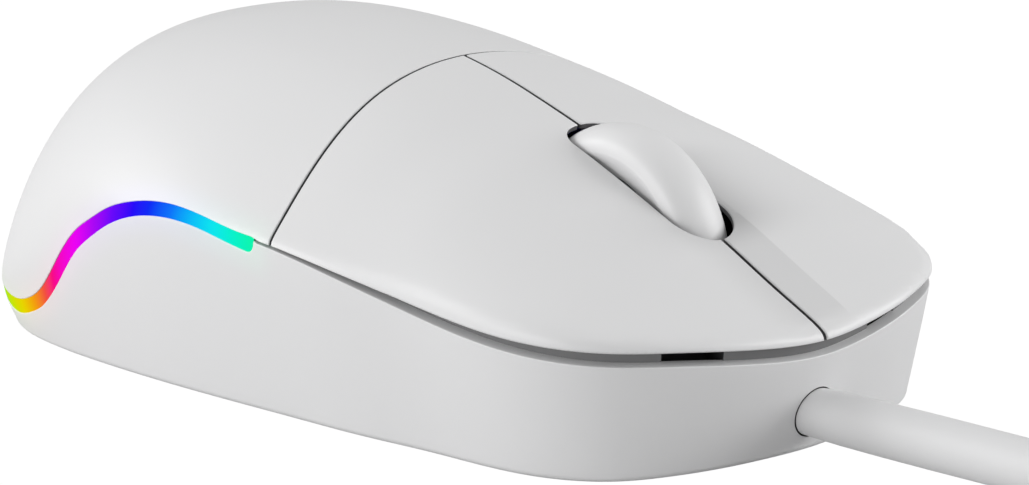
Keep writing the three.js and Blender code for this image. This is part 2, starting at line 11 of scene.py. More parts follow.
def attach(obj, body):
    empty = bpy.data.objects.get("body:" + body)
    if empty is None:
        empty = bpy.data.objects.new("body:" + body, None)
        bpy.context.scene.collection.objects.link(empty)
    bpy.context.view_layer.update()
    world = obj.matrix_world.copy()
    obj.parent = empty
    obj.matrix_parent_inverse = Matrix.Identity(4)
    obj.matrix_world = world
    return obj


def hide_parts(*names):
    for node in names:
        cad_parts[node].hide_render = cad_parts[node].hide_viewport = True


MM = 0.001
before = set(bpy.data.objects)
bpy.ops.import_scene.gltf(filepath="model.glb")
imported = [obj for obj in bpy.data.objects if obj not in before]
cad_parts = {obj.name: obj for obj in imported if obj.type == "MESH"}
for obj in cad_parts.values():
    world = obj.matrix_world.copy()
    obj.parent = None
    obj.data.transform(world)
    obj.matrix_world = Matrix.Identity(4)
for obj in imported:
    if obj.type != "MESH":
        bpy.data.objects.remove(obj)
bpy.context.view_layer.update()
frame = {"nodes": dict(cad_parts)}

# ------------------------------------------------------------------ body curves (millimetres, degrees)
K = 1.9
ARC_Y, ARC_CURVE = -6.65, 0.0055
FLOOR = 0.8
STRIP_END = 80.8
WHEEL_Y, WHEEL_Z = -31.0, 16.6
SLOT_FRONT, SLOT_REAR, SLOT_HALF = -44.75, -24.35, 3.6


def spline(xs, ys, m0=0.0, m1=0.0):
    xs, ys = np.asarray(xs, float), np.asarray(ys, float)
    n = len(xs)
    a = np.zeros((n, n))
    d = np.zeros(n)
    a[0, 0] = a[-1, -1] = 1
    d[0], d[-1] = m0, m1
    for i in range(1, n - 1):
        h0, h1 = xs[i] - xs[i - 1], xs[i + 1] - xs[i]
        a[i, i - 1], a[i, i], a[i, i + 1] = h1, 2 * (h0 + h1), h0
        d[i] = 3 * (h1 * (ys[i] - ys[i - 1]) / h0 + h0 * (ys[i + 1] - ys[i]) / h1)
    m = np.linalg.solve(a, d)

    def f(x):
        x = np.asarray(x, float)
        i = np.clip(np.searchsorted(xs, x, side="right") - 1, 0, n - 2)
        h = xs[i + 1] - xs[i]
        t = (x - xs[i]) / h
        u = 1 - t
        return ys[i] * (1 + 2 * t) * u * u + m[i] * h * t * u * u + ys[i + 1] * t * t * (3 - 2 * t) - m[i + 1] * h * t * t * u

    return f


def even(knots, vals):
    f = spline(knots, vals)

    def g(phi):
        t = np.abs(phi) % 360
        return f(np.where(t > 180, 360 - t, t))

    return g


TENS = list(range(0, 181, 10))
radius = even(TENS, [58.49, 59.07, 60.98, 63.78, 66.41, 65.43, 60.83, 58.88, 57.6, 57.29, 57.98, 59.7, 62.89, 65.87, 65.5, 62.81, 60.1, 58.8, 58.51])
belt_z = even(TENS, [12.09, 12.39, 13.05, 13.69, 14.1, 14.85, 16.44, 18.33, 19.76, 20.04, 18.63, 15.5, 11.28, 7.52, 5.73, 5.62, 6.39, 7.34, 7.81])
pow_n = even(TENS, [6.68, 7.07, 7.91, 8.72, 9.02, 8.36, 6.87, 5.3, 4.4, 4.65, 5.42, 5.83, 5.61, 5.16, 4.8, 4.5, 4.15, 3.8, 3.64])
pow_m = even(TENS, [2.84, 2.95, 3.17, 3.38, 3.45, 3.24, 2.81, 2.38, 2.2, 2.37, 2.57, 2.37, 1.8, 1.4, 1.35, 1.52, 1.82, 2.1, 2.21])
taper = even(TENS, [2.85, 2.97, 3.15, 3.14, 2.79, 2.51, 2.66, 3.01, 3.15, 2.95, 2.48, 1.92, 1.6, 1.6, 1.8, 2.2, 2.63, 2.88, 2.96])
taper_pow = even(TENS, [1.12, 1.1, 1.06, 1.06, 1.1, 1.15, 1.17, 1.18, 1.23, 1.33, 1.48, 1.66, 1.85, 2.0, 2.09, 2.16, 2.25, 2.35, 2.4])
ROWS_Y = list(range(-60, 61, 6))
ridge = spline(ROWS_Y, [13.93, 16.25, 18.7, 21.21, 23.73, 26.2, 28.56, 30.7, 32.48, 33.83, 34.81, 35.52, 36.01, 36.31, 36.39, 36.29, 36.03, 35.18, 32.1, 25.0, 12.08], 0.373, -2.739)
crown = spline(ROWS_Y, [-0.13, 1.45, 3.05, 4.64, 6.17, 7.6, 8.89, 10.0, 10.88, 11.49, 11.8, 11.76, 11.42, 10.81, 9.97, 8.95, 7.78, 6.52, 5.21, 3.87, 2.57], 0.257, -0.213)
STRIP_PHI = [0, 78, 81.5, 88.6, 95.2, 103.9, 107.5, 110.7, 113.2, 115.6, 118.5, 121.6, 124.9, 128.5, 133.5, 145, 162, 180]
strip_top = even(STRIP_PHI, [20.0, 19.95, 20.1, 20.9, 21.25, 20.2, 19.1, 17.35, 15.8, 13.75, 10.8, 7.9, 6.15, 5.3, 5.35, 5.9, 6.7, 7.1])
strip_low = even(STRIP_PHI, [18.5, 18.55, 18.8, 19.6, 20.0, 18.8, 17.45, 15.6, 13.9, 11.8, 9.1, 6.4, 4.75, 3.8, 3.85, 4.35, 5.15, 5.55])
# Fine shape of the strip's two edges.
strip_top_fine = even([0, 82, 92, 98, 104, 108, 112, 116, 119, 122, 127, 131, 136, 180], [0, 0, 0, 0.12, 0.04, -0.08, 0.04, -0.03, -0.24, -0.28, -0.24, -0.06, 0, 0])
strip_low_fine = even([0, 83, 86, 90, 98, 104, 108, 112, 115, 118, 121, 124, 130, 138, 160, 180], [-0.4, -0.42, -0.27, -0.03, 0, -0.14, -0.24, -0.16, -0.3, -0.68, -0.55, -0.42, -0.4, -0.3, -0.1, 0])
lip_gap = even([0, 25, 45, 60, 72, 82, 180], [1.45, 1.38, 1.28, 0.98, 0.52, 0.26, 0.26])

smooth = lambda t: np.clip(t, 0, 1) ** 2 * (3 - 2 * np.clip(t, 0, 1))
CREASE, CHANNEL_HALF, CHANNEL_RISE = 4.3, 6.5, 0.5


def channel(x, y):
    """The deck rises either side of the split, ahead of the wheel: to a crease on one side, softly on the other."""
    across = np.where(x > 0, np.clip(x / CREASE, 0, 1), smooth(-x / CHANNEL_HALF))
    return CHANNEL_RISE * smooth((-18 - y) / 10) * across * (1 - (x / 31) ** 2)


def roof(x, y):
    swell = 0.3 * smooth((-17 - y) / 14) * smooth((y + 53) / 9)
    return ridge(y) - crown(y) * (x / 30) ** 2 + channel(x, y) + swell


def outline(phi, off=0.0):
    def at(p):
        r, t = radius(p), np.radians(p)
        return -r * np.sin(t) / K, -r * np.cos(t)

    x, y = at(phi)
    x1, y1 = at(phi + 0.05)
    x0, y0 = at(phi - 0.05)
    nx, ny = -(y1 - y0), x1 - x0
    l = np.hypot(nx, ny)
    nx, ny = nx / l, ny / l
    sg = np.where(nx * x + ny * y < 0, -1, 1)
    return x - nx * sg * off, y - ny * sg * off


def profile(phi, beta):
    """Point (s, h) of the section's rounded quarter at polar angle beta: 0 at the rim, 90 degrees over the middle."""
    n, m = pow_n(phi), pow_m(phi)
    c, s = np.cos(beta), np.sin(beta)
    r = np.ones_like(c)
    for _ in range(14):
        a, b = np.maximum(r * c, 1e-12), np.maximum(r * s, 1e-12)
        f = a**n + b**m - 1
        g = (n * a**n + m * b**m) / r
        r = np.clip(r - f / g, 0.5, 1.5)
    return r * c, r * s


def top_at(phi, s, h):
    ox, oy = outline(phi)
    x, y = ox * s, oy * s
    zb = belt_z(phi)
    return np.stack([x, y, zb + np.maximum(roof(x, y) - zb, 0.2) * h], -1)


def wall_at(phi, v):
    zb = belt_z(phi)
    x, y = outline(phi, taper(phi) * np.maximum(v, 0) ** taper_pow(phi))
    return np.stack([x, y, zb + (FLOOR - zb) * v], -1)


# Arc-length table: rho runs 0..60 from the middle to the rim and 60..76 down the wall.
RIM, FOOT = 60.0, 76.0
T_PHI = np.arange(0, 181.0)
T_RHO = np.linspace(0, RIM, 481)
_b = np.linspace(np.pi / 2, 0, 900)
_P, _B = np.meshgrid(T_PHI, _b, indexing="ij")
_s, _h = profile(_P, _B)
_pts = top_at(_P, _s, _h)
_len = np.concatenate([np.zeros((len(T_PHI), 1)), np.cumsum(np.linalg.norm(np.diff(_pts, axis=1), axis=2), axis=1)], 1)
TABLE = np.array([np.interp(T_RHO / RIM * _len[i, -1], _len[i], _b) for i in range(len(T_PHI))])
TOP_LEN = _len[:, -1]


def beta_of(phi, rho):
    p = np.abs((np.asarray(phi, float) + 180) % 360 - 180)
    i = np.clip(p.astype(int), 0, 179)
    u = p - i
    r = np.clip(rho, 0, RIM) / RIM * 480
    j = np.clip(r.astype(int), 0, 479)
    w = r - j
    return (TABLE[i, j] * (1 - w) + TABLE[i, j + 1] * w) * (1 - u) + (TABLE[i + 1, j] * (1 - w) + TABLE[i + 1, j + 1] * w) * u


def place(phi, rho):
    phi, rho = np.asarray(phi, float), np.asarray(rho, float)
    s, h = profile(phi, beta_of(phi, rho))
    a = top_at(phi, s, h)
    b = wall_at(phi, (rho - RIM) / (FOOT - RIM))
    return np.where((rho > RIM)[..., None], b, a)


def to_map(phi, rho):
    t = np.radians(phi)
    return np.stack([-rho * np.sin(t) / K, -rho * np.cos(t)], -1)


def from_map(uv):
    u, v = uv[..., 0] * K, uv[..., 1]
    return np.degrees(np.arctan2(-u, -v)), np.hypot(u, v)


def at_map(uv):
    return place(*from_map(uv))


def frame_at(uv, e=0.02):
    """Position, unit normal (outwards) and the two map derivatives at map points."""
    p = at_map(uv)
    du = (at_map(uv + [e, 0]) - at_map(uv - [e, 0])) / (2 * e)
    dv = (at_map(uv + [0, e]) - at_map(uv - [0, e])) / (2 * e)
    n = np.cross(du, dv)
    n /= np.linalg.norm(n, axis=-1, keepdims=True) + 1e-12
    return p, n, du, dv


def map_of_xy(x, y):
    """Map coordinates of top-surface points given in plan."""
    phi = np.degrees(np.arctan2(-K * x, -y))
    s = np.clip(np.hypot(K * x, y) / radius(phi), 0, 1)
    h = np.maximum(1 - s ** pow_n(phi), 0) ** (1 / pow_m(phi))
    beta = np.arctan2(h, s)
    rho = np.empty_like(s)
    a = np.abs(phi)
    for k in range(len(s)):
        i = min(int(a[k]), 179)
        u = a[k] - i
        row = TABLE[i] * (1 - u) + TABLE[i + 1] * u
        rho[k] = np.interp(-beta[k], -row, T_RHO)
    return to_map(phi, rho)


def rho_of_z(phi, z):
    """rho where the outer surface, coming down, passes height z at plan angle phi."""
    out = np.empty(len(phi))
    r = np.linspace(20, FOOT, 900)
    for k, (p, zz) in enumerate(zip(phi, z)):
        zs = place(np.full_like(r, p), r)[:, 2]
        i = int(np.argmax(zs))
        out[k] = np.interp(-zz, -np.minimum.accumulate(zs[i:]), r[i:])
    return out


def resample(pts3, uv, step):
    d = np.concatenate([[0], np.cumsum(np.linalg.norm(np.diff(pts3, axis=0), axis=1))])
    n = max(2, int(round(d[-1] / step)) + 1)
    t = np.linspace(0, d[-1], n)
    return np.stack([np.interp(t, d, uv[:, 0]), np.interp(t, d, uv[:, 1])], -1)


# ------------------------------------------------------------------ mesh helpers
def make_mesh(name, verts, faces, normals=None, body="case", replaces=(), smooth_all=True):
    me = bpy.data.meshes.new(name)
    me.from_pydata([tuple(v) for v in np.asarray(verts) * MM], [], [tuple(int(i) for i in f) for f in faces])
    me.update()
    me.polygons.foreach_set("use_smooth", [smooth_all] * len(me.polygons))
    if normals is not None:
        me.normals_split_custom_set_from_vertices([tuple(n) for n in normals])
    ob = bpy.data.objects.new(name, me)
    bpy.context.scene.collection.objects.link(ob)
    if body:
        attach(ob, body)
    if replaces:
        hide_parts(*replaces)
    return ob


def inside(poly, pts):
    x, y = pts[:, 0], pts[:, 1]
    c = np.zeros(len(pts), bool)
    a, b = poly, np.roll(poly, -1, 0)
    for (x0, y0), (x1, y1) in zip(a, b):
        if y0 == y1:
            continue
        hit = (y0 > y) != (y1 > y)
        c ^= hit & (x < (x1 - x0) * (y - y0) / (y1 - y0) + x0)
    return c


def panel(name, edges, node, body, thick=1.3, spacing=1.0, creases=()):
    """A shell panel bounded by map-space polylines (each with its edge radius), joined end to end anticlockwise in the map.
    Its edges are rounded, it has a rim, and an inner face."""
    loop, rad_e = [], []
    for uv, r in edges:
        loop.append(uv[:-1])
        rad_e.append(np.full(len(uv) - 1, r))
    B, R = np.concatenate(loop), np.concatenate(rad_e)
    area = 0.5 * np.sum(B[:, 0] * np.roll(B[:, 1], -1) - np.roll(B[:, 0], -1) * B[:, 1])
    if area < 0:
        B, R = B[::-1], np.roll(R[::-1], -1)
    P = at_map(B)
    _, N, DU, DV = frame_at(B * (1 - 0.08 / np.linalg.norm(B, axis=1, keepdims=True)))
    T = np.roll(P, -1, 0) - np.roll(P, 1, 0)
    T /= np.linalg.norm(T, axis=1, keepdims=True)
    M = np.cross(T, N)  # outwards from the panel, in its surface
    M /= np.linalg.norm(M, axis=1, keepdims=True)
    # map step for one millimetre inwards
    J = np.stack([DU, DV], -1)
    step = np.einsum("nij,nj->ni", np.linalg.pinv(J), -M)
    dense = KDTree(len(P) * 4)
    q = np.concatenate([P + (np.roll(P, -1, 0) - P) * f for f in (0, 0.25, 0.5, 0.75)])
    for i, p in enumerate(q):
        dense.insert(Vector(p), i)
    dense.balance()
    pts, dist, rr, mm = [B], [np.zeros(len(B))], [R], [M]
    for f in (0.12, 0.3, 0.6, 1.0, 1.8, 3.4, 5.6):
        d = R * f
        uv = B + step * d[:, None]
        p3 = at_map(uv)
        near = np.array([dense.find(Vector(p))[2] for p in p3])
        ok = (near > 0.8 * d) & inside(B, uv)
        if f > 2:
            ok &= np.arange(len(B)) % 2 == 0
        pts.append(uv[ok])
        dist.append(np.minimum(near[ok], d[ok]))
        rr.append(R[ok])
        mm.append(M[ok])
    for line in creases:
        for side in (-0.07, 0.07):
            uv = map_of_xy(line[:, 0] + side, line[:, 1])
            p3 = at_map(uv)
            near = np.array([dense.find(Vector(p))[2] for p in p3])
            ok = (near > 0.9) & inside(B, uv)
            pts.append(uv[ok])
            dist.append(np.full(ok.sum(), 9.0))
            rr.append(np.full(ok.sum(), 0.3))
            mm.append(np.zeros((ok.sum(), 3)))
    lo, hi = B.min(0), B.max(0)
    gx, gy = np.arange(lo[0], hi[0], spacing), np.arange(lo[1], hi[1], spacing * 0.866)
    G = np.array([(x + (0.5 * spacing if j % 2 else 0), y) for j, y in enumerate(gy) for x in gx])
    G = G[inside(B, G)]
    g3 = at_map(G)
    near = np.array([dense.find(Vector(p))[2] for p in g3])
    ok = near > R.max() * 5.6 + 0.35
    if len(creases):
        ct = KDTree(sum(len(l) for l in creases))
        k = 0
        for line in creases:
            for p in at_map(map_of_xy(line[:, 0], line[:, 1])):
                ct.insert(Vector(p), k)
                k += 1
        ct.balance()
        ok &= np.array([ct.find(Vector(p))[2] for p in g3]) > 0.4
    pts.append(G[ok])
    dist.append(np.full(ok.sum(), 9.0))
    rr.append(np.full(ok.sum(), 0.3))
    mm.append(np.zeros((ok.sum(), 3)))
    UV, D, RR, MM_ = np.concatenate(pts), np.concatenate(dist), np.concatenate(rr), np.concatenate(mm)
    # merge near-duplicates, keeping the earlier point
    t = KDTree(len(UV))
    for i, p in enumerate(UV):
        t.insert(Vector((p[0], p[1], 0)), i)
    t.balance()
    keep = np.ones(len(UV), bool)
    for i in range(len(B), len(UV)):
        if not keep[i]:
            continue
        tol = 0.035 if D[i] < 3 else 0.1
        for _, j, _d in t.find_range(Vector((UV[i, 0], UV[i, 1], 0)), tol):
            if j != i and keep[j] and j < i:
                keep[i] = False
                break
    UV, D, RR, MM_ = UV[keep], D[keep], RR[keep], MM_[keep]
    nb = len(B)
    res = delaunay_2d_cdt([Vector((float(a), float(b))) for a, b in UV], [(i, (i + 1) % nb) for i in range(nb)], [], 0, 1e-7)
    rv = np.array([(v[0], v[1]) for v in res[0]])
    back = [o[0] if len(o) else -1 for o in res[3]]
    tri = np.array([f for f in res[2] if len(f) == 3])
    cen = rv[tri].mean(1)
    tri = tri[inside(B, cen)]
    idx = np.array(back)
    good = (idx[tri] >= 0).all(1)
    tri = idx[tri[good]]
    P = at_map(UV)
    _, N, _, _ = frame_at(UV * (1 - 0.04 / np.maximum(np.linalg.norm(UV, axis=1, keepdims=True), 1)))
    x = np.clip(RR - D, 0, None)
    drop = np.where(D < RR, RR - np.sqrt(np.maximum(RR**2 - x**2, 0)), 0)
    sa = np.clip(x / RR, 0, 1)
    V = P - N * drop[:, None]
    NN = N * np.sqrt(1 - sa**2)[:, None] + MM_ * sa[:, None]
    NN /= np.linalg.norm(NN, axis=1, keepdims=True)
    c = np.cross(V[tri[:, 1]] - V[tri[:, 0]], V[tri[:, 2]] - V[tri[:, 0]])
    flip = (c * N[tri[:, 0]]).sum(1) < 0
    tri[flip] = tri[flip][:, ::-1]
    nv = len(V)
    # rim and inner face
    rimb = P[:nb] - N[:nb] * thick
    Vi = P - N * thick
    verts = np.concatenate([V, rimb, Vi])
    norms = np.concatenate([NN, MM_[:nb], -N])
    faces = [tuple(f) for f in tri] + [tuple(int(v) + nv + nb for v in f[::-1]) for f in tri]
    for i in range(nb):
        j = (i + 1) % nb
        faces.append((i, nv + i, nv + j, j))  # rim
    ob = make_mesh(name, verts, faces, norms, body, (node,))
    ob["outer_faces"] = len(tri)
    return ob


# ------------------------------------------------------------------ seam curves in the map
SEAM = 0.34  # visible width of the seam behind the buttons
SPLIT = 0.42
arc_y = lambda x: ARC_Y - ARC_CURVE * x * x


def arc_line(dy, x0, x1):
    """The arc seam from x0 to x1, ending on the rim where it meets the outline."""
    x = np.linspace(x0, x1, 220)
    uv = map_of_xy(x, arc_y(x) + dy)
    return uv


def rim_cross(dy, side):
    """Plan angle at which the arc seam meets the outline."""
    ph = np.linspace(60, 100, 4001)
    ox, oy = outline(ph)
    f = oy - (arc_y(ox) + dy)
    k = int(np.argmin(np.abs(f)))
    return side * ph[k]


def rim_line(p0, p1, rho=RIM, n=400):
    p = np.linspace(p0, p1, n)
    return to_map(p, np.full(n, rho))


def button_edges(side):
    """side -1: the mouse's right button (towards -X, plan angle positive)."""
    s = -side  # sign of phi
    dy = -SEAM / 2
    pe = rim_cross(dy, 1)
    ox, _ = outline(pe)
    xe = abs(float(ox))
    hs = SPLIT / 2
    # 1 arc seam from the middle to the rim
    x = np.concatenate([np.linspace(hs, xe - 1.5, 160), xe - 1.5 * (1 - np.linspace(0, 1, 60)[1:] ** 0.5)])
    a = map_of_xy(side * x, arc_y(x) + dy)
    a[-1] = to_map(s * pe, RIM)
    # 2 rim from there to the nose
    yn = -58.49
    pn = np.degrees(np.arctan2(K * hs, -yn))
    b = rim_line(s * pe, s * pn)
    # 3 split from nose to the slot
    ys0 = SLOT_FRONT + SLOT_HALF - math.sqrt(SLOT_HALF**2 - hs**2)
    ph = np.degrees(np.arctan2(K * hs, 58.49))
    yy = -58.49 + (1 - np.linspace(1, 0, 60) ** 0.4) * 2.0
    yy = np.concatenate([yy, np.linspace(-56.49, ys0, 60)[1:]])
    c = map_of_xy(np.full(len(yy), side * hs), yy)
    c[0] = b[-1]
    # 4 slot edge
    t0 = math.asin(hs / SLOT_HALF)
    t = np.linspace(t0, np.pi / 2, 30)
    sx = np.concatenate([SLOT_HALF * np.sin(t), [SLOT_HALF] * 30, SLOT_HALF * np.sin(t[::-1])])
    sy = np.concatenate([SLOT_FRONT + SLOT_HALF - SLOT_HALF * np.cos(t), np.linspace(SLOT_FRONT + SLOT_HALF, SLOT_REAR - SLOT_HALF, 32)[1:-1], SLOT_REAR - SLOT_HALF + SLOT_HALF * np.cos(t[::-1])])
    d = map_of_xy(side * sx, sy)
    # 5 split from the slot to the arc
    ys1 = SLOT_REAR - SLOT_HALF + math.sqrt(SLOT_HALF**2 - hs**2)
    yy = np.linspace(ys1, arc_y(hs) + dy, 60)
    e = map_of_xy(np.full(60, side * hs), yy)
    return [(resample(at_map(q), q, st), r) for q, r, st in ((a, 0.13, 0.45), (b, 0.14, 0.45), (c, 0.16, 0.4), (d, 0.14, 0.3), (e, 0.16, 0.4))]


right_button = panel("right_button_skin", button_edges(-1), "right_button", "right_button", thick=0.6)
left_button = panel("left_button_skin", button_edges(1), "left_button", "left_button", thick=0.6, creases=[np.stack([np.full(100, CREASE), np.linspace(-58.0, -25, 100)], -1)])


def palm_edges():
    dy = SEAM / 2
    pe = float(rim_cross(dy, 1))
    ox, _ = outline(pe)
    xe = abs(float(ox))
    half = np.concatenate([np.linspace(0, xe - 1.5, 160), xe - 1.5 * (1 - np.linspace(0, 1, 60)[1:] ** 0.5)])
    x = np.concatenate([-half[::-1], half[1:]])
    a = map_of_xy(x, arc_y(x) + dy)  # from -X to +X
    a[0], a[-1] = to_map(pe, RIM), to_map(-pe, RIM)
    # side: rim to the strip's end, up its end, then along the strip's top edge right round
    p = np.concatenate([np.linspace(STRIP_END + 0.6, 140, 260), np.linspace(140, 180, 80)[1:]])
    z = strip_top(p) + strip_top_fine(p) + 0.05
    rr = rho_of_z(p, z)
    top = to_map(p, rr)
    q = np.linspace(pe, STRIP_END - 0.7, 20)
    rim = to_map(q, np.full(20, RIM))
    blend_uv = np.stack([np.linspace(rim[-1][0], top[0][0], 8), np.linspace(rim[-1][1], top[0][1], 8)], -1)[1:-1]
    side = np.concatenate([rim, blend_uv, top])  # on -X, from the arc to the rear
    mirror = side[::-1] * [-1, 1]
    b = np.concatenate([side, mirror[1:]])
    return [(resample(at_map(a), a, 0.5), 0.13), (resample(at_map(b), b, 0.5)[::-1], 0.07)]


palm = panel("palm_skin", palm_edges(), "palm_shell", "case", spacing=1.1)


# ------------------------------------------------------------------ base tub: wall, bottom with its openings
STRIP_FROM, STRIP_ROUND = STRIP_END + 0.2, 1.5


def strip_width(phi):
    """Share of the strip's full height at a plan angle: its front end is rounded at the bottom corner."""
    x = np.clip((np.abs(phi) - STRIP_FROM) / STRIP_ROUND, 0, 1)
    return np.sqrt(np.clip(1 - (1 - x) ** 2, 0, 1))


def strip_ceiling(phi):
    return strip_top(phi) + strip_top_fine(phi)


def strip_floor(phi):
    return strip_low(phi) + strip_low_fine(phi)


def base_edge(phi):
    """Height of the base wall's top edge."""
    a = np.abs(phi)
    z_front = belt_z(phi) - lip_gap(phi)
    w = smooth((a - (STRIP_FROM - 0.5)) / 0.6)
    z_strip = strip_ceiling(phi) - np.maximum((strip_ceiling(phi) - strip_floor(phi)) * strip_width(phi), 0.3)
    return z_front * (1 - w) + (z_strip - 0.05) * w


def base_skin():
    fine = np.arange(80.0, 83.6, 0.2)
    pos = np.concatenate([np.arange(0.4, 30, 0.8), np.arange(30.4, 76, 1.0), np.arange(76.2, 79.8, 0.5), fine, np.arange(83.9, 130, 0.5), np.arange(130.2, 180, 1.0)])
    ph = np.concatenate([-pos[::-1], pos])
    n = len(ph)
    r0 = rho_of_z(ph, base_edge(ph))
    edge_r, foot_r, thick = 0.12, 0.9, 1.3
    fr = np.array([0, 0.12, 0.3, 0.6, 1.0]) * edge_r
    # millimetres of surface per unit of rho, down the section
    p_a, p_b = place(ph, r0), place(ph, r0 + 0.05)
    per = 0.05 / np.linalg.norm(p_b - p_a, axis=1)
    rows_v, rows_n = [], []
    e = 0.02

    def normal(phi, rho):
        uv = to_map(phi, rho)
        return frame_at(uv)[1]

    edge_uv = to_map(ph, r0)
    P0, N0, DU, DV = frame_at(edge_uv)
    T0 = np.roll(P0, -1, 0) - np.roll(P0, 1, 0)
    T0 /= np.linalg.norm(T0, axis=1, keepdims=True)
    M0 = np.cross(N0, T0)
    M0 *= np.sign((M0[:, 2:3]))
    step = np.einsum("nij,nj->ni", np.linalg.pinv(np.stack([DU, DV], -1)), -M0)
    # rim: inner edge, outer edge
    rows_v.append(P0 - N0 * thick)
    rows_n.append(M0)
    for d in fr:
        uv = edge_uv + step * d
        P, N, _, _ = frame_at(uv)
        sa = max(edge_r - d, 0) / edge_r
        rows_v.append(P - N * (edge_r - math.sqrt(max(edge_r**2 - max(edge_r - d, 0) ** 2, 0)) if d < edge_r else 0))
        nn = N * math.sqrt(1 - sa * sa) + M0 * sa
        rows_n.append(nn / np.linalg.norm(nn, axis=1, keepdims=True))
    uv_last = edge_uv + step * fr[-1]
    ph1, r1 = from_map(uv_last)
    ph1 = np.where(ph1 - ph > 180, ph1 - 360, np.where(ph1 - ph < -180, ph1 + 360, ph1))
    # down the wall to just above the foot, then a small radius under
    foot_len = 15.0
    zb = belt_z(ph)
    r_end = RIM + (FOOT - RIM) * (1 - foot_r / (zb - FLOOR))
    for k in range(1, 15):
        t = k / 14
        pk, rk = ph1 + (ph - ph1) * min(1, t * 2), r1 + (np.maximum(r_end, r1 + 0.5) - r1) * t
        rows_v.append(place(pk, rk))
        rows_n.append(normal(pk, rk))
    Pe, Ne = rows_v[-1], rows_n[-1].copy()
    Ne[:, 2] = 0
    Ne /= np.linalg.norm(Ne, axis=1, keepdims=True)
    slope = rows_n[-1][:, 2]
    for a in (15, 32, 50, 70, 90):
        t = math.radians(a)
        v = Pe - Ne * foot_r * (1 - math.cos(t))
        v = v.copy()
        v[:, 2] = Pe[:, 2] - (Pe[:, 2] - FLOOR) * math.sin(t)
        rows_v.append(v)
        nn = Ne * math.cos(t) + np.array([0, 0, -1.0]) * math.sin(t)
        rows_n.append(nn)
    V, NN = np.concatenate(rows_v), np.concatenate(rows_n)
    faces = []
    rows = len(rows_v)
    for r in range(rows - 1):
        for i in range(n):
            j = (i + 1) % n
            faces.append((r * n + i, (r + 1) * n + i, (r + 1) * n + j, r * n + j))
    # check the winding on one face
    f = faces[10 * n]
    c = np.cross(V[f[1]] - V[f[0]], V[f[2]] - V[f[0]])
    if np.dot(c, NN[f[0]]) < 0:
        faces = [q[::-1] for q in faces]
    # bottom with openings
    loop = V[(rows - 1) * n :][:, :2]
    holes = []
    rect = lambda x0, x1, y0, y1, k=6: np.concatenate([np.stack([np.linspace(x0, x1, k)[:-1], np.full(k - 1, y0)], -1), np.stack([np.full(k - 1, x1), np.linspace(y0, y1, k)[:-1]], -1), np.stack([np.linspace(x1, x0, k)[:-1], np.full(k - 1, y1)], -1), np.stack([np.full(k - 1, x0), np.linspace(y1, y0, k)[:-1]], -1)])
    circ = lambda x, y, r, k=28: np.stack([x + r * np.cos(np.linspace(0, 2 * np.pi, k, endpoint=False)), y + r * np.sin(np.linspace(0, 2 * np.pi, k, endpoint=False))], -1)
    holes += [rect(-4, 4, -2.5, 10.5), rect(-3.2, 3.2, 20.8, 27.2), circ(-18, 30, 2.9), circ(18, 30, 2.9)]
    pts, edges, start = [loop], [], 0
    edges += [(i, (i + 1) % n) for i in range(n)]
    start = n
    for h in holes:
        pts.append(h)
        edges += [(start + i, start + (i + 1) % len(h)) for i in range(len(h))]
        start += len(h)
    pts = np.concatenate(pts)
    res = delaunay_2d_cdt([Vector((float(a), float(b))) for a, b in pts], edges, [], 0, 1e-7)
    rv = np.array([(v[0], v[1]) for v in res[0]])
    tri = np.array([f for f in res[2] if len(f) == 3])
    cen = rv[tri].mean(1)
    ok = inside(loop, cen)
    for h in holes:
        ok &= ~inside(h, cen)
    tri = tri[ok]
    base = len(V)
    bot = np.concatenate([rv, np.full((len(rv), 1), FLOOR)], 1)
    a, b_, c_ = bot[tri[:, 0]], bot[tri[:, 1]], bot[tri[:, 2]]
    up = np.cross(b_ - a, c_ - a)[:, 2] > 0
    tri[up] = tri[up][:, ::-1]
    faces += [tuple(int(i) + base for i in t) for t in tri]
    V, NN = np.concatenate([V, bot]), np.concatenate([NN, np.tile([0, 0, -1.0], (len(bot), 1))])
    # hole walls, and the inner floor over them is dark, so a 1.4 mm wall is enough
    for h in holes:
        k, base = len(h), len(V)
        lo = np.concatenate([h, np.full((k, 1), FLOOR)], 1)
        hi = np.concatenate([h, np.full((k, 1), 2.2)], 1)
        mid = h.mean(0)
        nn = np.concatenate([(mid - h) / np.linalg.norm(mid - h, axis=1, keepdims=True), np.zeros((k, 1))], 1)
        V, NN = np.concatenate([V, lo, hi]), np.concatenate([NN, nn, nn])
        faces += [(base + i, base + (i + 1) % k, base + k + (i + 1) % k, base + k + i) for i in range(k)]
    return make_mesh("base_skin", V, faces, NN, "case", ("base_shell",))


base = base_skin()


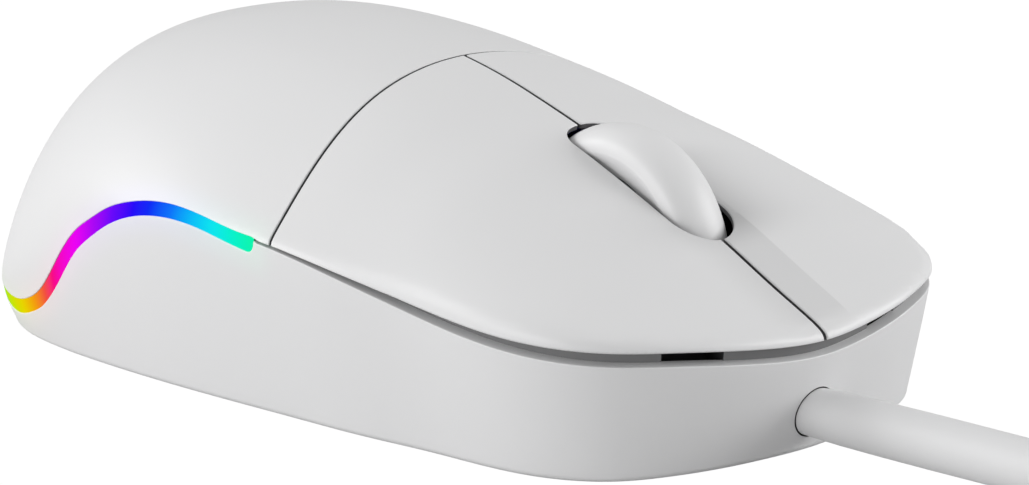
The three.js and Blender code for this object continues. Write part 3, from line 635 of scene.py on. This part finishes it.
# ------------------------------------------------------------------ light strip
def strip_skin():
    p0, p1 = STRIP_FROM, STRIP_FROM + STRIP_ROUND
    half = np.concatenate([p0 + STRIP_ROUND * np.linspace(0, 1, 16) ** 1.6, np.linspace(p1, 140, 150)[1:], np.linspace(140, 180, 50)[1:]])
    ph = np.concatenate([half, 360 - half[::-1][1:]])
    ph = np.where(ph > 180, ph - 360, ph)
    a = np.abs(ph)
    zt = strip_ceiling(ph) + 0.12
    zl = zt - (zt - strip_floor(ph) + 0.1) * np.maximum(strip_width(ph), 0.03)
    rt, rl = rho_of_z(ph, zt), rho_of_z(ph, zl)
    rows_v, rows_n = [], []
    fr = [0, 0.0, 0.06, 0.16, 0.35, 0.65, 0.84, 0.94, 1.0, 1.0]
    n = len(ph)
    for k, f in enumerate(fr):
        uv = to_map(ph, rt + (rl - rt) * f)
        P, N, _, _ = frame_at(uv)
        ins = 0.56 if k in (0, len(fr) - 1) else {0.0: 0.16, 1.0: 0.16, 0.06: 0.09, 0.94: 0.09}.get(f, 0.05)
        rows_v.append(P - N * ins)
        nn = N.copy()
        if f in (0.0, 1.0):
            nn[:, 2] += 0.8 if f == 0 else -0.8
        rows_n.append(nn / np.linalg.norm(nn, axis=1, keepdims=True))
    V, NN = np.concatenate(rows_v), np.concatenate(rows_n)
    faces = []
    for r in range(len(fr) - 1):
        for i in range(n - 1):
            faces.append((r * n + i, r * n + i + 1, (r + 1) * n + i + 1, (r + 1) * n + i))
    f = faces[4 * (n - 1)]
    c = np.cross(V[f[1]] - V[f[0]], V[f[2]] - V[f[0]])
    if np.dot(c, NN[f[0]]) < 0:
        faces = [q[::-1] for q in faces]
    # the strip's own back; it and the two inward flanges are dark, so that the inside of the case isn't lit
    k = len(V)
    V = np.concatenate([V, V - NN * 0.4])
    front = len(faces)
    faces = faces + [tuple(i + k for i in q[::-1]) for q in faces]
    ob = make_mesh("strip_skin", V, faces, np.concatenate([NN, -NN]), "case", ("light_strip",))
    ob["front_faces"], ob["row_faces"] = front, n - 1
    return ob


strip = strip_skin()


# ------------------------------------------------------------------ inner frame: the grey band behind the gap, darkened as painted shade
# notches in the band, lined with near black as painted shade in the recess
POCKETS = ((-16.9, -11.0), (7.4, 12.0))


def frame_skin():
    lim, step = 80.5, 0.5
    ph = np.arange(-lim, lim + 0.01, step)
    n = len(ph)
    inset = 1.2  # far enough in and low enough that a clicked button clears it
    z_hi = belt_z(ph) - 0.15 + 0.65 * smooth((np.abs(ph) - 30) / 25)
    z_lo = belt_z(ph) - lip_gap(ph) - 1.6
    rows = []
    for z, ins in ((z_hi, inset + 1.3), (z_hi, inset + 0.15), (z_hi - 0.1, inset), (z_lo, inset + 0.55), (z_lo, inset + 1.8)):
        x, y = outline(ph, ins + np.zeros(n))
        rows.append(np.stack([x, y, z], -1))
    V = np.concatenate(rows)
    faces, pocket = [], []
    x_mid = rows[2][:, 0]
    runs = {}
    for i in range(n - 1):
        xm = 0.5 * (x_mid[i] + x_mid[i + 1])
        hit = next((k for k, (p, q) in enumerate(POCKETS) if p < xm < q), None)
        if hit is not None:
            runs.setdefault(hit, []).append(i)
            continue
        for r in range(len(rows) - 1):
            faces.append((r * n + i, r * n + i + 1, (r + 1) * n + i + 1, (r + 1) * n + i))
    deep = []
    for z, ins in ((z_hi + 0.2, inset + 3.4), (z_lo, inset + 3.4)):
        x, y = outline(ph, ins + np.zeros(n))
        deep.append(np.stack([x, y, z], -1))
    V = np.concatenate([V] + deep)
    top, low = len(rows) * n, (len(rows) + 1) * n
    for run in runs.values():
        i0, i1 = run[0], run[-1] + 1
        for i in run:
            pocket.append((top + i, top + i + 1, low + i + 1, low + i))
            pocket.append((n + i, n + i + 1, top + i + 1, top + i))
            pocket.append((low + i, low + i + 1, 3 * n + i + 1, 3 * n + i))
        pocket.append((n + i0, top + i0, low + i0, 3 * n + i0, 2 * n + i0))
        pocket.append((n + i1, 2 * n + i1, 3 * n + i1, low + i1, top + i1))
    f = faces[2]
    c = np.cross(V[f[1]] - V[f[0]], V[f[2]] - V[f[0]])
    if np.dot(c[:2], V[f[0]][:2]) < 0:
        faces, pocket = [q[::-1] for q in faces], [q[::-1] for q in pocket]
    ob = make_mesh("frame_skin", V, faces + pocket, None, "case", ("inner_frame",))
    ob.data.set_sharp_from_angle(angle=math.radians(35))
    return ob, len(faces)


frame_band, pocket_from = frame_skin()



# ------------------------------------------------------------------ turned pieces
def lathe(name, prof, centre, axis, body, node, seg=96, closed=True):
    """prof: [radius, along] points; smooth shading with crisp corners where the profile turns sharply."""
    prof = np.asarray(prof, float)
    V, F = [], []
    k = len(prof)
    ang = np.linspace(0, 2 * np.pi, seg, endpoint=False)
    for r, a in prof:
        for t in ang:
            if axis == "X":
                V.append((centre[0] + a, centre[1] + r * np.cos(t), centre[2] + r * np.sin(t)))
            else:
                V.append((centre[0] + r * np.cos(t), centre[1] + a, centre[2] + r * np.sin(t)))
    rng = range(k) if closed else range(k - 1)
    for i in rng:
        i2 = (i + 1) % k
        for j in range(seg):
            j2 = (j + 1) % seg
            F.append((i * seg + j, i * seg + j2, i2 * seg + j2, i2 * seg + j))
    ob = make_mesh(name, V, F, None, body, (node,) if node else ())
    import bmesh

    bm = bmesh.new()
    bm.from_mesh(ob.data)
    bmesh.ops.remove_doubles(bm, verts=bm.verts, dist=1e-7)
    bmesh.ops.dissolve_degenerate(bm, edges=bm.edges, dist=1e-7)
    bmesh.ops.recalc_face_normals(bm, faces=bm.faces)
    bm.to_mesh(ob.data)
    bm.free()
    me = ob.data
    me.polygons.foreach_set("use_smooth", [True] * len(me.polygons))
    me.set_sharp_from_angle(angle=math.radians(35))
    return ob


R_W, SIDE, HALF = 12.85, 10.5, 3.19
tyre_prof = []
for u in np.linspace(-1, 1, 41):
    tyre_prof.append((SIDE + (R_W - SIDE) * (1 - abs(u) ** 2.12) ** (1 / 2.12), u * HALF))
tyre_prof += [(SIDE - 0.25, HALF - 0.02), (SIDE - 0.9, HALF - 0.28), (8.4, HALF - 0.42), (8.4, -(HALF - 0.42)), (SIDE - 0.9, -(HALF - 0.28)), (SIDE - 0.25, -(HALF - 0.02))]
tyre = lathe("tyre_skin", tyre_prof, (0, WHEEL_Y, WHEEL_Z), "X", "wheel", "wheel_tyre", 160)

CZ = 4.8
boot_prof = [(0.05, -52.5), (4.4, -52.5), (4.6, -52.7), (4.6, -53.8), (4.4, -54.0), (2.35, -54.0), (2.39, -56.5), (2.46, -58.5), (2.53, -61), (2.57, -66), (2.57, -72), (2.54, -78), (2.5, -84), (2.4, -90), (2.3, -91.6), (2.12, -92.6), (1.9, -93), (1.75, -93), (0.05, -93)]
boot = lathe("boot_skin", boot_prof, (0, 0, CZ), "Y", "case", "cord_boot", 64, closed=False)
# the flange inside the case rests on the base floor
bpy.context.view_layer.update()
for v in boot.data.vertices:
    w = boot.matrix_world @ v.co
    if w.z < 0.00225:
        w.z = 0.00225
        v.co = boot.matrix_world.inverted() @ w


def boot_gap_shade():
    """A near-black ring laid just off the surface round the boot where it enters the case: painted shade standing for
    the hairline gap's shadow.
    """
    t = np.linspace(0, 2 * np.pi, 97)[:-1]
    rows, rows_n = [], []
    for r, lift in ((2.3, 0.015), (2.54, 0.015)):
        x, z = r * np.cos(t), CZ + r * np.sin(t)
        phi = -np.degrees(np.arcsin(x * K / 58.0))
        for _ in range(5):
            rho = rho_of_z(phi, z)
            phi = phi - (x - place(phi, rho)[:, 0]) / 0.535
        P, nn, _, _ = frame_at(to_map(phi, rho_of_z(phi, z)))
        rows.append(P + nn * lift)
        rows_n.append(nn)
    k = len(t)
    faces = [(i, (i + 1) % k, k + (i + 1) % k, k + i) for i in range(k)]
    return make_mesh("boot_gap_shade", np.concatenate(rows), faces, np.concatenate(rows_n), "case", ())


gap_shade_ring = boot_gap_shade()


# ------------------------------------------------------------------ cord (metres from here on)
D_CORD = 0.0035
COIL_X, COIL_Y, MID = 0.0286, -0.126, 0.01925
START = math.pi * 0.97


def coil_turns():
    ring = [MID + 0.00525 - 0.0035 * k for k in range(4)]
    order = []
    for zi in range(4):
        z = 0.00325 + 0.0035 * zi
        for r in ring if zi % 2 == 0 else ring[::-1]:
            order.append((r, z))
    order = order[:12] + order[14:]  # the top layer is two turns, ending on the outside
    out, per = [], 24
    for k, (r, z) in enumerate(order):
        nr, nz = order[min(k + 1, len(order) - 1)]
        for i in range(per):
            f = i / per
            g = max(0.0, (f - 0.62) / 0.38)
            g = g * g * (3 - 2 * g)
            a = START + 2 * math.pi * f
            rr, zz = r + (nr - r) * g, z + (nz - z) * g
            out.append((COIL_X + rr * math.cos(a), COIL_Y + rr * math.sin(a), zz))
    return out


lead = [(0, -0.0905, 0.0048), (0, -0.0935, 0.0048), (0.0001, -0.0980, 0.0046), (0.0004, -0.1030, 0.0041), (0.0013, -0.1085, 0.0036), (0.0026, -0.1140, 0.00335), (0.0037, -0.1190, 0.00326)]
tail = [(0.0039, -0.1245, 0.01368), (0.0034, -0.1300, 0.0124), (0.0028, -0.1350, 0.0101), (0.0024, -0.1400, 0.0075), (0.0028, -0.1455, 0.0051), (0.0048, -0.1512, 0.0038), (0.0088, -0.1566, 0.0036), (0.0140, -0.1599, 0.0040), (0.0190, -0.1610, 0.0043), (0.0222, -0.1610, 0.0043)]


def curve(name, points, depth, body, nodes, resolution=6):
    cu = bpy.data.curves.new(name, "CURVE")
    cu.dimensions = "3D"
    sp = cu.splines.new("POLY")
    sp.points.add(len(points) - 1)
    for p, q in zip(sp.points, points):
        p.co = (q[0], q[1], q[2], 1)
    sp.use_smooth = True
    cu.bevel_depth = depth
    cu.bevel_resolution = resolution
    cu.use_fill_caps = True
    line = bpy.data.objects.new(name + "_line", cu)
    bpy.context.scene.collection.objects.link(line)
    bpy.context.view_layer.update()
    tube = bpy.data.meshes.new_from_object(line.evaluated_get(bpy.context.evaluated_depsgraph_get()))
    bpy.data.objects.remove(line)
    tube.name = name
    tube.polygons.foreach_set("use_smooth", [len(q.vertices) < 5 for q in tube.polygons])
    ob = bpy.data.objects.new(name, tube)
    bpy.context.scene.collection.objects.link(ob)
    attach(ob, body)
    if nodes:
        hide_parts(*nodes)
    return ob


def catmull(points, sub=3):
    p = [np.array(q, float) for q in points]
    p = [2 * p[0] - p[1]] + p + [2 * p[-1] - p[-2]]
    out = []
    for i in range(1, len(p) - 2):
        for k in range(sub):
            t = k / sub
            a, b, c, d = p[i - 1], p[i], p[i + 1], p[i + 2]
            out.append(0.5 * ((2 * b) + (-a + c) * t + (2 * a - 5 * b + 4 * c - d) * t * t + (-a + 3 * b - 3 * c + d) * t**3))
    out.append(p[-2])
    return out


route = catmull(lead + coil_turns() + tail)
cord = curve("cord_run", route, D_CORD / 2, "case", ("cord", "cord_coil", "cord_tail"), 5)
nodes = frame["nodes"]


# ------------------------------------------------------------------ materials
def principled(name, colour, rough, metallic=0.0, spec=0.5, coat=0.0, grain=0.0, grain_scale=3000.0, sss=0.0):
    m = bpy.data.materials.new(name)
    m.use_nodes = True
    nt = m.node_tree
    b = nt.nodes["Principled BSDF"]
    b.inputs["Base Color"].default_value = (*colour, 1)
    b.inputs["Roughness"].default_value = rough
    b.inputs["Metallic"].default_value = metallic
    b.inputs["Specular IOR Level"].default_value = spec
    b.inputs["Coat Weight"].default_value = coat
    b.inputs["Coat Roughness"].default_value = 0.08
    if sss:
        b.inputs["Subsurface Weight"].default_value = sss
        b.inputs["Subsurface Scale"].default_value = 0.001
    if grain:
        tc = nt.nodes.new("ShaderNodeTexCoord")
        no = nt.nodes.new("ShaderNodeTexNoise")
        bu = nt.nodes.new("ShaderNodeBump")
        no.inputs["Scale"].default_value = grain_scale
        no.inputs["Detail"].default_value = 2
        bu.inputs["Strength"].default_value = grain
        bu.inputs["Distance"].default_value = 0.00002
        nt.links.new(tc.outputs["Object"], no.inputs["Vector"])
        nt.links.new(no.outputs["Fac"], bu.inputs["Height"])
        nt.links.new(bu.outputs["Normal"], b.inputs["Normal"])
    return m


MATS = {
    "shell": principled("white satin plastic", (0.80, 0.80, 0.805), 0.36, spec=0.45, grain=0.12, grain_scale=4200),
    # near black: painted shade on the panels' rims and inner faces and on the boot ring, where the shell plastic is
    # white; also the strip's back and flanges
    "inner": principled("inner plastic painted dark as shade", (0.10, 0.10, 0.105), 0.6),
    # grey plastic, darkened further as painted shade under the lip
    "frame": principled("grey inner plastic with painted shade", (0.23, 0.23, 0.233), 0.5),
    # near black: painted shade inside the frame's notches
    "pocket": principled("pocket painted near black as shade", (0.04, 0.04, 0.042), 0.6),
    "tyre_gloss": principled("white gloss tyre", (0.80, 0.80, 0.805), 0.33, spec=0.3),
    "hub": principled("grey hub", (0.32, 0.33, 0.34), 0.4),
    "steel": principled("brushed steel", (0.56, 0.56, 0.57), 0.3, metallic=1.0, grain=0.1),
    "dark_plastic": principled("dark grey plastic", (0.05, 0.05, 0.055), 0.45, grain=0.15),
    "black_plastic": principled("black plastic", (0.02, 0.02, 0.022), 0.4, grain=0.1),
    "plunger": principled("red plunger", (0.55, 0.03, 0.02), 0.35),
    "board": principled("green board", (0.01, 0.12, 0.045), 0.4, grain=0.2, grain_scale=1500),
    "ivory": principled("ivory plastic", (0.70, 0.66, 0.56), 0.4),
    "pad": principled("slick pad", (0.04, 0.04, 0.045), 0.3, grain=0.1),
    "cord_jacket": principled("soft jacket", (0.78, 0.78, 0.785), 0.5, spec=0.35, grain=0.1),
}
lens = principled("clear lens", (0.9, 0.92, 0.95), 0.05)
lens.node_tree.nodes["Principled BSDF"].inputs["Transmission Weight"].default_value = 0.9
MATS["lens"] = lens

# The strip: colour by plan angle about the middle of the case.
STOPS = [(81, (15, 245, 170)), (84, (10, 242, 200)), (87.5, (15, 230, 238)), (91, (12, 190, 248)), (95, (15, 115, 250)), (99, (15, 42, 246)), (102, (38, 12, 248)), (106, (104, 10, 250)), (110, (175, 8, 244)), (113.5, (236, 5, 244)), (116.5, (244, 8, 200)), (118.8, (248, 10, 130)), (121, (242, 80, 60)), (123.5, (244, 150, 16)), (127, (232, 212, 0)), (131, (198, 230, 8)), (137, (130, 226, 50)), (150, (0, 245, 90)), (164, (0, 240, 190)), (180, (0, 215, 250))]
to_linear = lambda c: np.array([(v / 255 / 12.92 if v / 255 <= 0.04045 else ((v / 255 + 0.055) / 1.055) ** 2.4) for v in c])


def strip_colour(phi):
    a = np.abs(phi)
    cols = np.array([to_linear(c) for _, c in STOPS])
    return np.stack([np.interp(a, [p for p, _ in STOPS], cols[:, k]) for k in range(3)], -1)


def tint(ob, painted_shade=False):
    """Per-vertex values that the shell's material reads: a painted glow of the strip's light on the shell, and painted
    shade in the finger channel and beside the wheel.
    """
    me = ob.data
    n = len(me.vertices)
    co = np.empty(n * 3)
    me.vertices.foreach_get("co", co)
    co = co.reshape(-1, 3) / MM
    a = np.arange(STRIP_FROM + 0.6, 180, 1.0)
    ph = np.concatenate([a, -a])
    z = 0.5 * (strip_ceiling(ph) + strip_floor(ph))
    line = place(ph, rho_of_z(ph, z))
    cols = strip_colour(ph)
    tree = KDTree(len(line))
    for i, q in enumerate(line):
        tree.insert(Vector(q), i)
    tree.balance()
    # painted light: near the strip the shell glows in the strip's colour, standing for the strip's light falling on the
    # white plastic
    glow = np.zeros((n, 4))
    glow[:, 3] = 1
    for i, q in enumerate(co):
        _, j, d = tree.find(Vector(q))
        if d < 7:
            glow[i, :3] = cols[j] * 0.07 * math.exp(-(max(d - 0.8, 0) / 1.9) ** 2)
    at = me.attributes.new("strip_glow", "FLOAT_COLOR", "POINT")
    at.data.foreach_set("color", glow.ravel())
    shade = np.zeros(n)
    if painted_shade:
        x, y = co[:, 0], co[:, 1]
        # painted shade in the finger channel ahead of the wheel: the deck is darkened by a tenth up to the crease on
        # +X, fading out on -X
        w = smooth((-37 - y) / 7) * smooth((y + 57.6) / 1.3)
        shade = w * np.where(x > 0, 0.10 * (x < CREASE + 0.01), 0.10 * (1 - smooth(-x / 6.4)))
        # painted shadow of the wheel on the deck beside it: strong on +X, weaker on -X
        by = smooth((y + 47) / 5)
        shade += by * np.where(x > 0, smooth((-29.5 - y) / 4) * 0.33 * np.exp(-np.maximum(x - 4.0, 0) / 3.8), smooth((-36 - y) / 4) * 0.13 * np.exp(-np.maximum(-x - 4.2, 0) / 3))
    at = me.attributes.new("painted_shade", "FLOAT", "POINT")
    at.data.foreach_set("value", shade)


def shell_material(m, colour):
    nt = m.node_tree
    b = nt.nodes["Principled BSDF"]
    # the base colour is scaled down by the painted shade, and front faces emit the painted strip glow
    g, c, inv, mul = nt.nodes.new("ShaderNodeAttribute"), nt.nodes.new("ShaderNodeAttribute"), nt.nodes.new("ShaderNodeMath"), nt.nodes.new("ShaderNodeVectorMath")
    g.attribute_name, c.attribute_name = "strip_glow", "painted_shade"
    inv.operation, mul.operation = "SUBTRACT", "SCALE"
    inv.inputs[0].default_value = 1
    nt.links.new(c.outputs["Fac"], inv.inputs[1])
    mul.inputs[0].default_value = colour
    nt.links.new(inv.outputs[0], mul.inputs["Scale"])
    nt.links.new(mul.outputs["Vector"], b.inputs["Base Color"])
    nt.links.new(g.outputs["Color"], b.inputs["Emission Color"])
    geo, front = nt.nodes.new("ShaderNodeNewGeometry"), nt.nodes.new("ShaderNodeMath")
    front.operation = "SUBTRACT"
    front.inputs[0].default_value = 1.0
    nt.links.new(geo.outputs["Backfacing"], front.inputs[1])
    nt.links.new(front.outputs[0], b.inputs["Emission Strength"])


shell_material(MATS["shell"], (0.80, 0.80, 0.805))
tint(right_button, True)
tint(left_button, True)
tint(palm)
tint(base)


def strip_material():
    m = bpy.data.materials.new("rainbow light strip")
    m.use_nodes = True
    nt = m.node_tree
    nt.nodes.clear()
    N = nt.nodes.new
    L = nt.links.new
    tc, sep = N("ShaderNodeTexCoord"), N("ShaderNodeSeparateXYZ")
    L(tc.outputs["Object"], sep.inputs[0])
    ax, mx, my, at, dv = [N("ShaderNodeMath") for _ in range(5)]
    ax.operation, mx.operation, my.operation, at.operation, dv.operation = "ABSOLUTE", "MULTIPLY", "MULTIPLY", "ARCTAN2", "DIVIDE"
    L(sep.outputs["X"], ax.inputs[0])
    L(ax.outputs[0], mx.inputs[0])
    mx.inputs[1].default_value = K
    L(sep.outputs["Y"], my.inputs[0])
    my.inputs[1].default_value = -1
    L(mx.outputs[0], at.inputs[0])
    L(my.outputs[0], at.inputs[1])
    L(at.outputs[0], dv.inputs[0])
    dv.inputs[1].default_value = math.pi
    ramp = N("ShaderNodeValToRGB")
    L(dv.outputs[0], ramp.inputs["Fac"])
    cr = ramp.color_ramp
    while len(cr.elements) > 1:
        cr.elements.remove(cr.elements[-1])
    lin = lambda c: tuple((v / 255 / 12.92 if v / 255 <= 0.04045 else ((v / 255 + 0.055) / 1.055) ** 2.4) for v in c) + (1.0,)
    for k, (pos, col) in enumerate(STOPS):
        e = cr.elements[0] if k == 0 else cr.elements.new(pos / 180)
        e.position = pos / 180
        e.color = lin(col)
    pb = N("ShaderNodeBsdfPrincipled")
    pb.inputs["Roughness"].default_value = 0.6
    pb.inputs["Base Color"].default_value = (0.0, 0.0, 0.0, 1)
    pb.inputs["Specular IOR Level"].default_value = 0.0
    L(ramp.outputs["Color"], pb.inputs["Emission Color"])
    geo, inv = N("ShaderNodeNewGeometry"), N("ShaderNodeMath")
    inv.operation = "SUBTRACT"
    inv.inputs[0].default_value = 1.0
    L(geo.outputs["Backfacing"], inv.inputs[1])
    L(inv.outputs[0], pb.inputs["Emission Strength"])
    out = N("ShaderNodeOutputMaterial")
    L(pb.outputs[0], out.inputs["Surface"])
    return m


MATS["strip"] = strip_material()


def paint(ob, mat):
    ob.data.materials.clear()
    ob.data.materials.append(mat)


for o in (right_button, left_button, palm, base):
    paint(o, MATS["shell"])
# rims and inner faces take the near-black painted shade
for o in (right_button, left_button, palm):
    o.data.materials.append(MATS["inner"])
    outer = o["outer_faces"]
    o.data.polygons.foreach_set("material_index", [0 if i < outer else 1 for i in range(len(o.data.polygons))])
paint(frame_band, MATS["frame"])
frame_band.data.materials.append(MATS["pocket"])
for p in frame_band.data.polygons:
    p.material_index = 1 if p.index >= pocket_from else 0
paint(strip, MATS["strip"])
strip.data.materials.append(MATS["inner"])
strip.data.polygons.foreach_set("material_index", [0 if strip["row_faces"] <= i < strip["front_faces"] - strip["row_faces"] else 1 for i in range(len(strip.data.polygons))])
paint(tyre, MATS["tyre_gloss"])
for o in (boot, cord):
    paint(o, MATS["cord_jacket"])
# the boot ring is painted shade for the gap
paint(gap_shade_ring, MATS["inner"])
BY_NODE = {
    "hub": ["wheel_hub"],
    "steel": ["wheel_axle", "board_screw_1", "board_screw_2", "board_screw_3", "board_screw_4", "case_screw_right", "case_screw_left", "mode_switch", "usb_plug_shell"],
    "dark_plastic": ["wheel_carriage", "mode_button", "cord_tie"],
    "black_plastic": ["wheel_encoder", "right_switch", "left_switch", "middle_switch", "sensor_chip", "controller_chip", "capacitor", "mode_switch_plunger"],
    "plunger": ["right_switch_plunger", "left_switch_plunger", "middle_switch_plunger"],
    "board": ["main_board", "mode_board", "light_board"],
    "lens": ["sensor_lens"],
    "ivory": ["cord_header", "cord_connector", "led_right", "led_rear", "led_left", "usb_tongue"],
    "pad": ["front_foot", "rear_foot", "sensor_ring"],
    "cord_jacket": ["usb_plug_body"],
}
BEVEL = {"usb_plug_body": 1.6, "usb_plug_shell": 0.35, "front_foot": 0.12, "rear_foot": 0.12, "cord_tie": 0.4, "mode_button": 0.3, "wheel_hub": 0.2, "wheel_carriage": 0.2, "main_board": 0.1, "wheel_encoder": 0.2}
for slot_name, names in BY_NODE.items():
    for n in names:
        paint(nodes[n], MATS[slot_name])
        if n in BEVEL:
            mod = nodes[n].modifiers.new("edge", "BEVEL")
            mod.width = BEVEL[n] * MM
            mod.segments = 3
            mod.limit_method = "ANGLE"
            mod.angle_limit = math.radians(40)


# ------------------------------------------------------------------ floor, light, camera
def emission_mix(name, glow, diffuse, w):
    m = bpy.data.materials.new(name)
    m.use_nodes = True
    nt = m.node_tree
    nt.nodes.clear()
    e, d, mi, o, lp = [nt.nodes.new(t) for t in ("ShaderNodeEmission", "ShaderNodeBsdfDiffuse", "ShaderNodeMixShader", "ShaderNodeOutputMaterial", "ShaderNodeLightPath")]
    e.inputs["Color"].default_value = (1, 1, 1, 1)
    e.inputs["Strength"].default_value = glow
    d.inputs["Color"].default_value = (diffuse,) * 3 + (1,)
    nt.links.new(lp.outputs["Is Camera Ray"], mi.inputs["Fac"])
    nt.links.new(d.outputs[0], mi.inputs[1])
    nt.links.new(e.outputs[0], mi.inputs[2])
    nt.links.new(mi.outputs[0], o.inputs["Surface"])
    return m


bpy.ops.mesh.primitive_plane_add(size=8, location=(0, 0, -0.0001))
floor = bpy.context.object
floor.name = "studio_floor"
paint(floor, emission_mix("white floor", 1.02, 0.62, 0.7))

world = bpy.data.worlds.new("studio")
bpy.context.scene.world = world
world.use_nodes = True
wt = world.node_tree
bg = wt.nodes["Background"]
bg.inputs["Color"].default_value = (1, 1, 1, 1)
bg.inputs["Strength"].default_value = 0.507
bg2 = wt.nodes.new("ShaderNodeBackground")
bg2.inputs["Color"].default_value = (1, 1, 1, 1)
bg2.inputs["Strength"].default_value = 1.02
mix = wt.nodes.new("ShaderNodeMixShader")
lp = wt.nodes.new("ShaderNodeLightPath")
wt.links.new(lp.outputs["Is Camera Ray"], mix.inputs["Fac"])
wt.links.new(bg.outputs[0], mix.inputs[1])
wt.links.new(bg2.outputs[0], mix.inputs[2])
wt.links.new(mix.outputs[0], wt.nodes["World Output"].inputs["Surface"])


def area(name, loc, target, size, power, colour=(1, 1, 1)):
    li = bpy.data.lights.new(name, "AREA")
    li.shape = "RECTANGLE"
    li.size, li.size_y = size
    li.energy = power
    li.color = colour
    ob = bpy.data.objects.new(name, li)
    bpy.context.scene.collection.objects.link(ob)
    ob.location = loc
    d = Vector(target) - Vector(loc)
    ob.rotation_euler = d.to_track_quat("-Z", "Y").to_euler()
    return ob


LIGHTS = [
    ("left_rear", (-0.6, 0.75, 0.45), 4.07),
    ("left_low", (-1.0, 0.1, 0.06), 4.64),
    ("right_front", (0.75, -0.6, 0.35), 5.32),
    ("rear_high", (0.0, 0.55, 0.8), 0.5),
]
for name, loc, power in LIGHTS:
    area(name, loc, (0, 0, 0.02), (0.6, 0.6), power)

cam_data = bpy.data.cameras.new("camera")
cam = bpy.data.objects.new("camera", cam_data)
bpy.context.scene.collection.objects.link(cam)
bpy.context.scene.camera = cam
cam_data.sensor_fit = "HORIZONTAL"
cam_data.sensor_width = 36
cam_data.lens = 36 * 3600 / 1029
cam_data.clip_start, cam_data.clip_end = 0.01, 20
az, el, roll, dist, target = math.radians(-39.95), math.radians(13.29), math.radians(-2.48), 0.40139, np.array([0.0185, 0.00863, 0.00791])
bk = np.array([math.sin(az) * math.cos(el), -math.cos(az) * math.cos(el), math.sin(el)])
r0 = np.array([math.cos(az), math.sin(az), 0.0])
u0 = np.cross(bk, r0)
rt = r0 * math.cos(roll) + u0 * math.sin(roll)
up = -r0 * math.sin(roll) + u0 * math.cos(roll)
pos = target + bk * dist
cam.matrix_world = Matrix(((rt[0], up[0], bk[0], pos[0]), (rt[1], up[1], bk[1], pos[1]), (rt[2], up[2], bk[2], pos[2]), (0, 0, 0, 1)))

view = bpy.context.scene.view_settings
view.view_transform = "Standard"
view.look = "None"
view.exposure = 0
view.gamma = 1
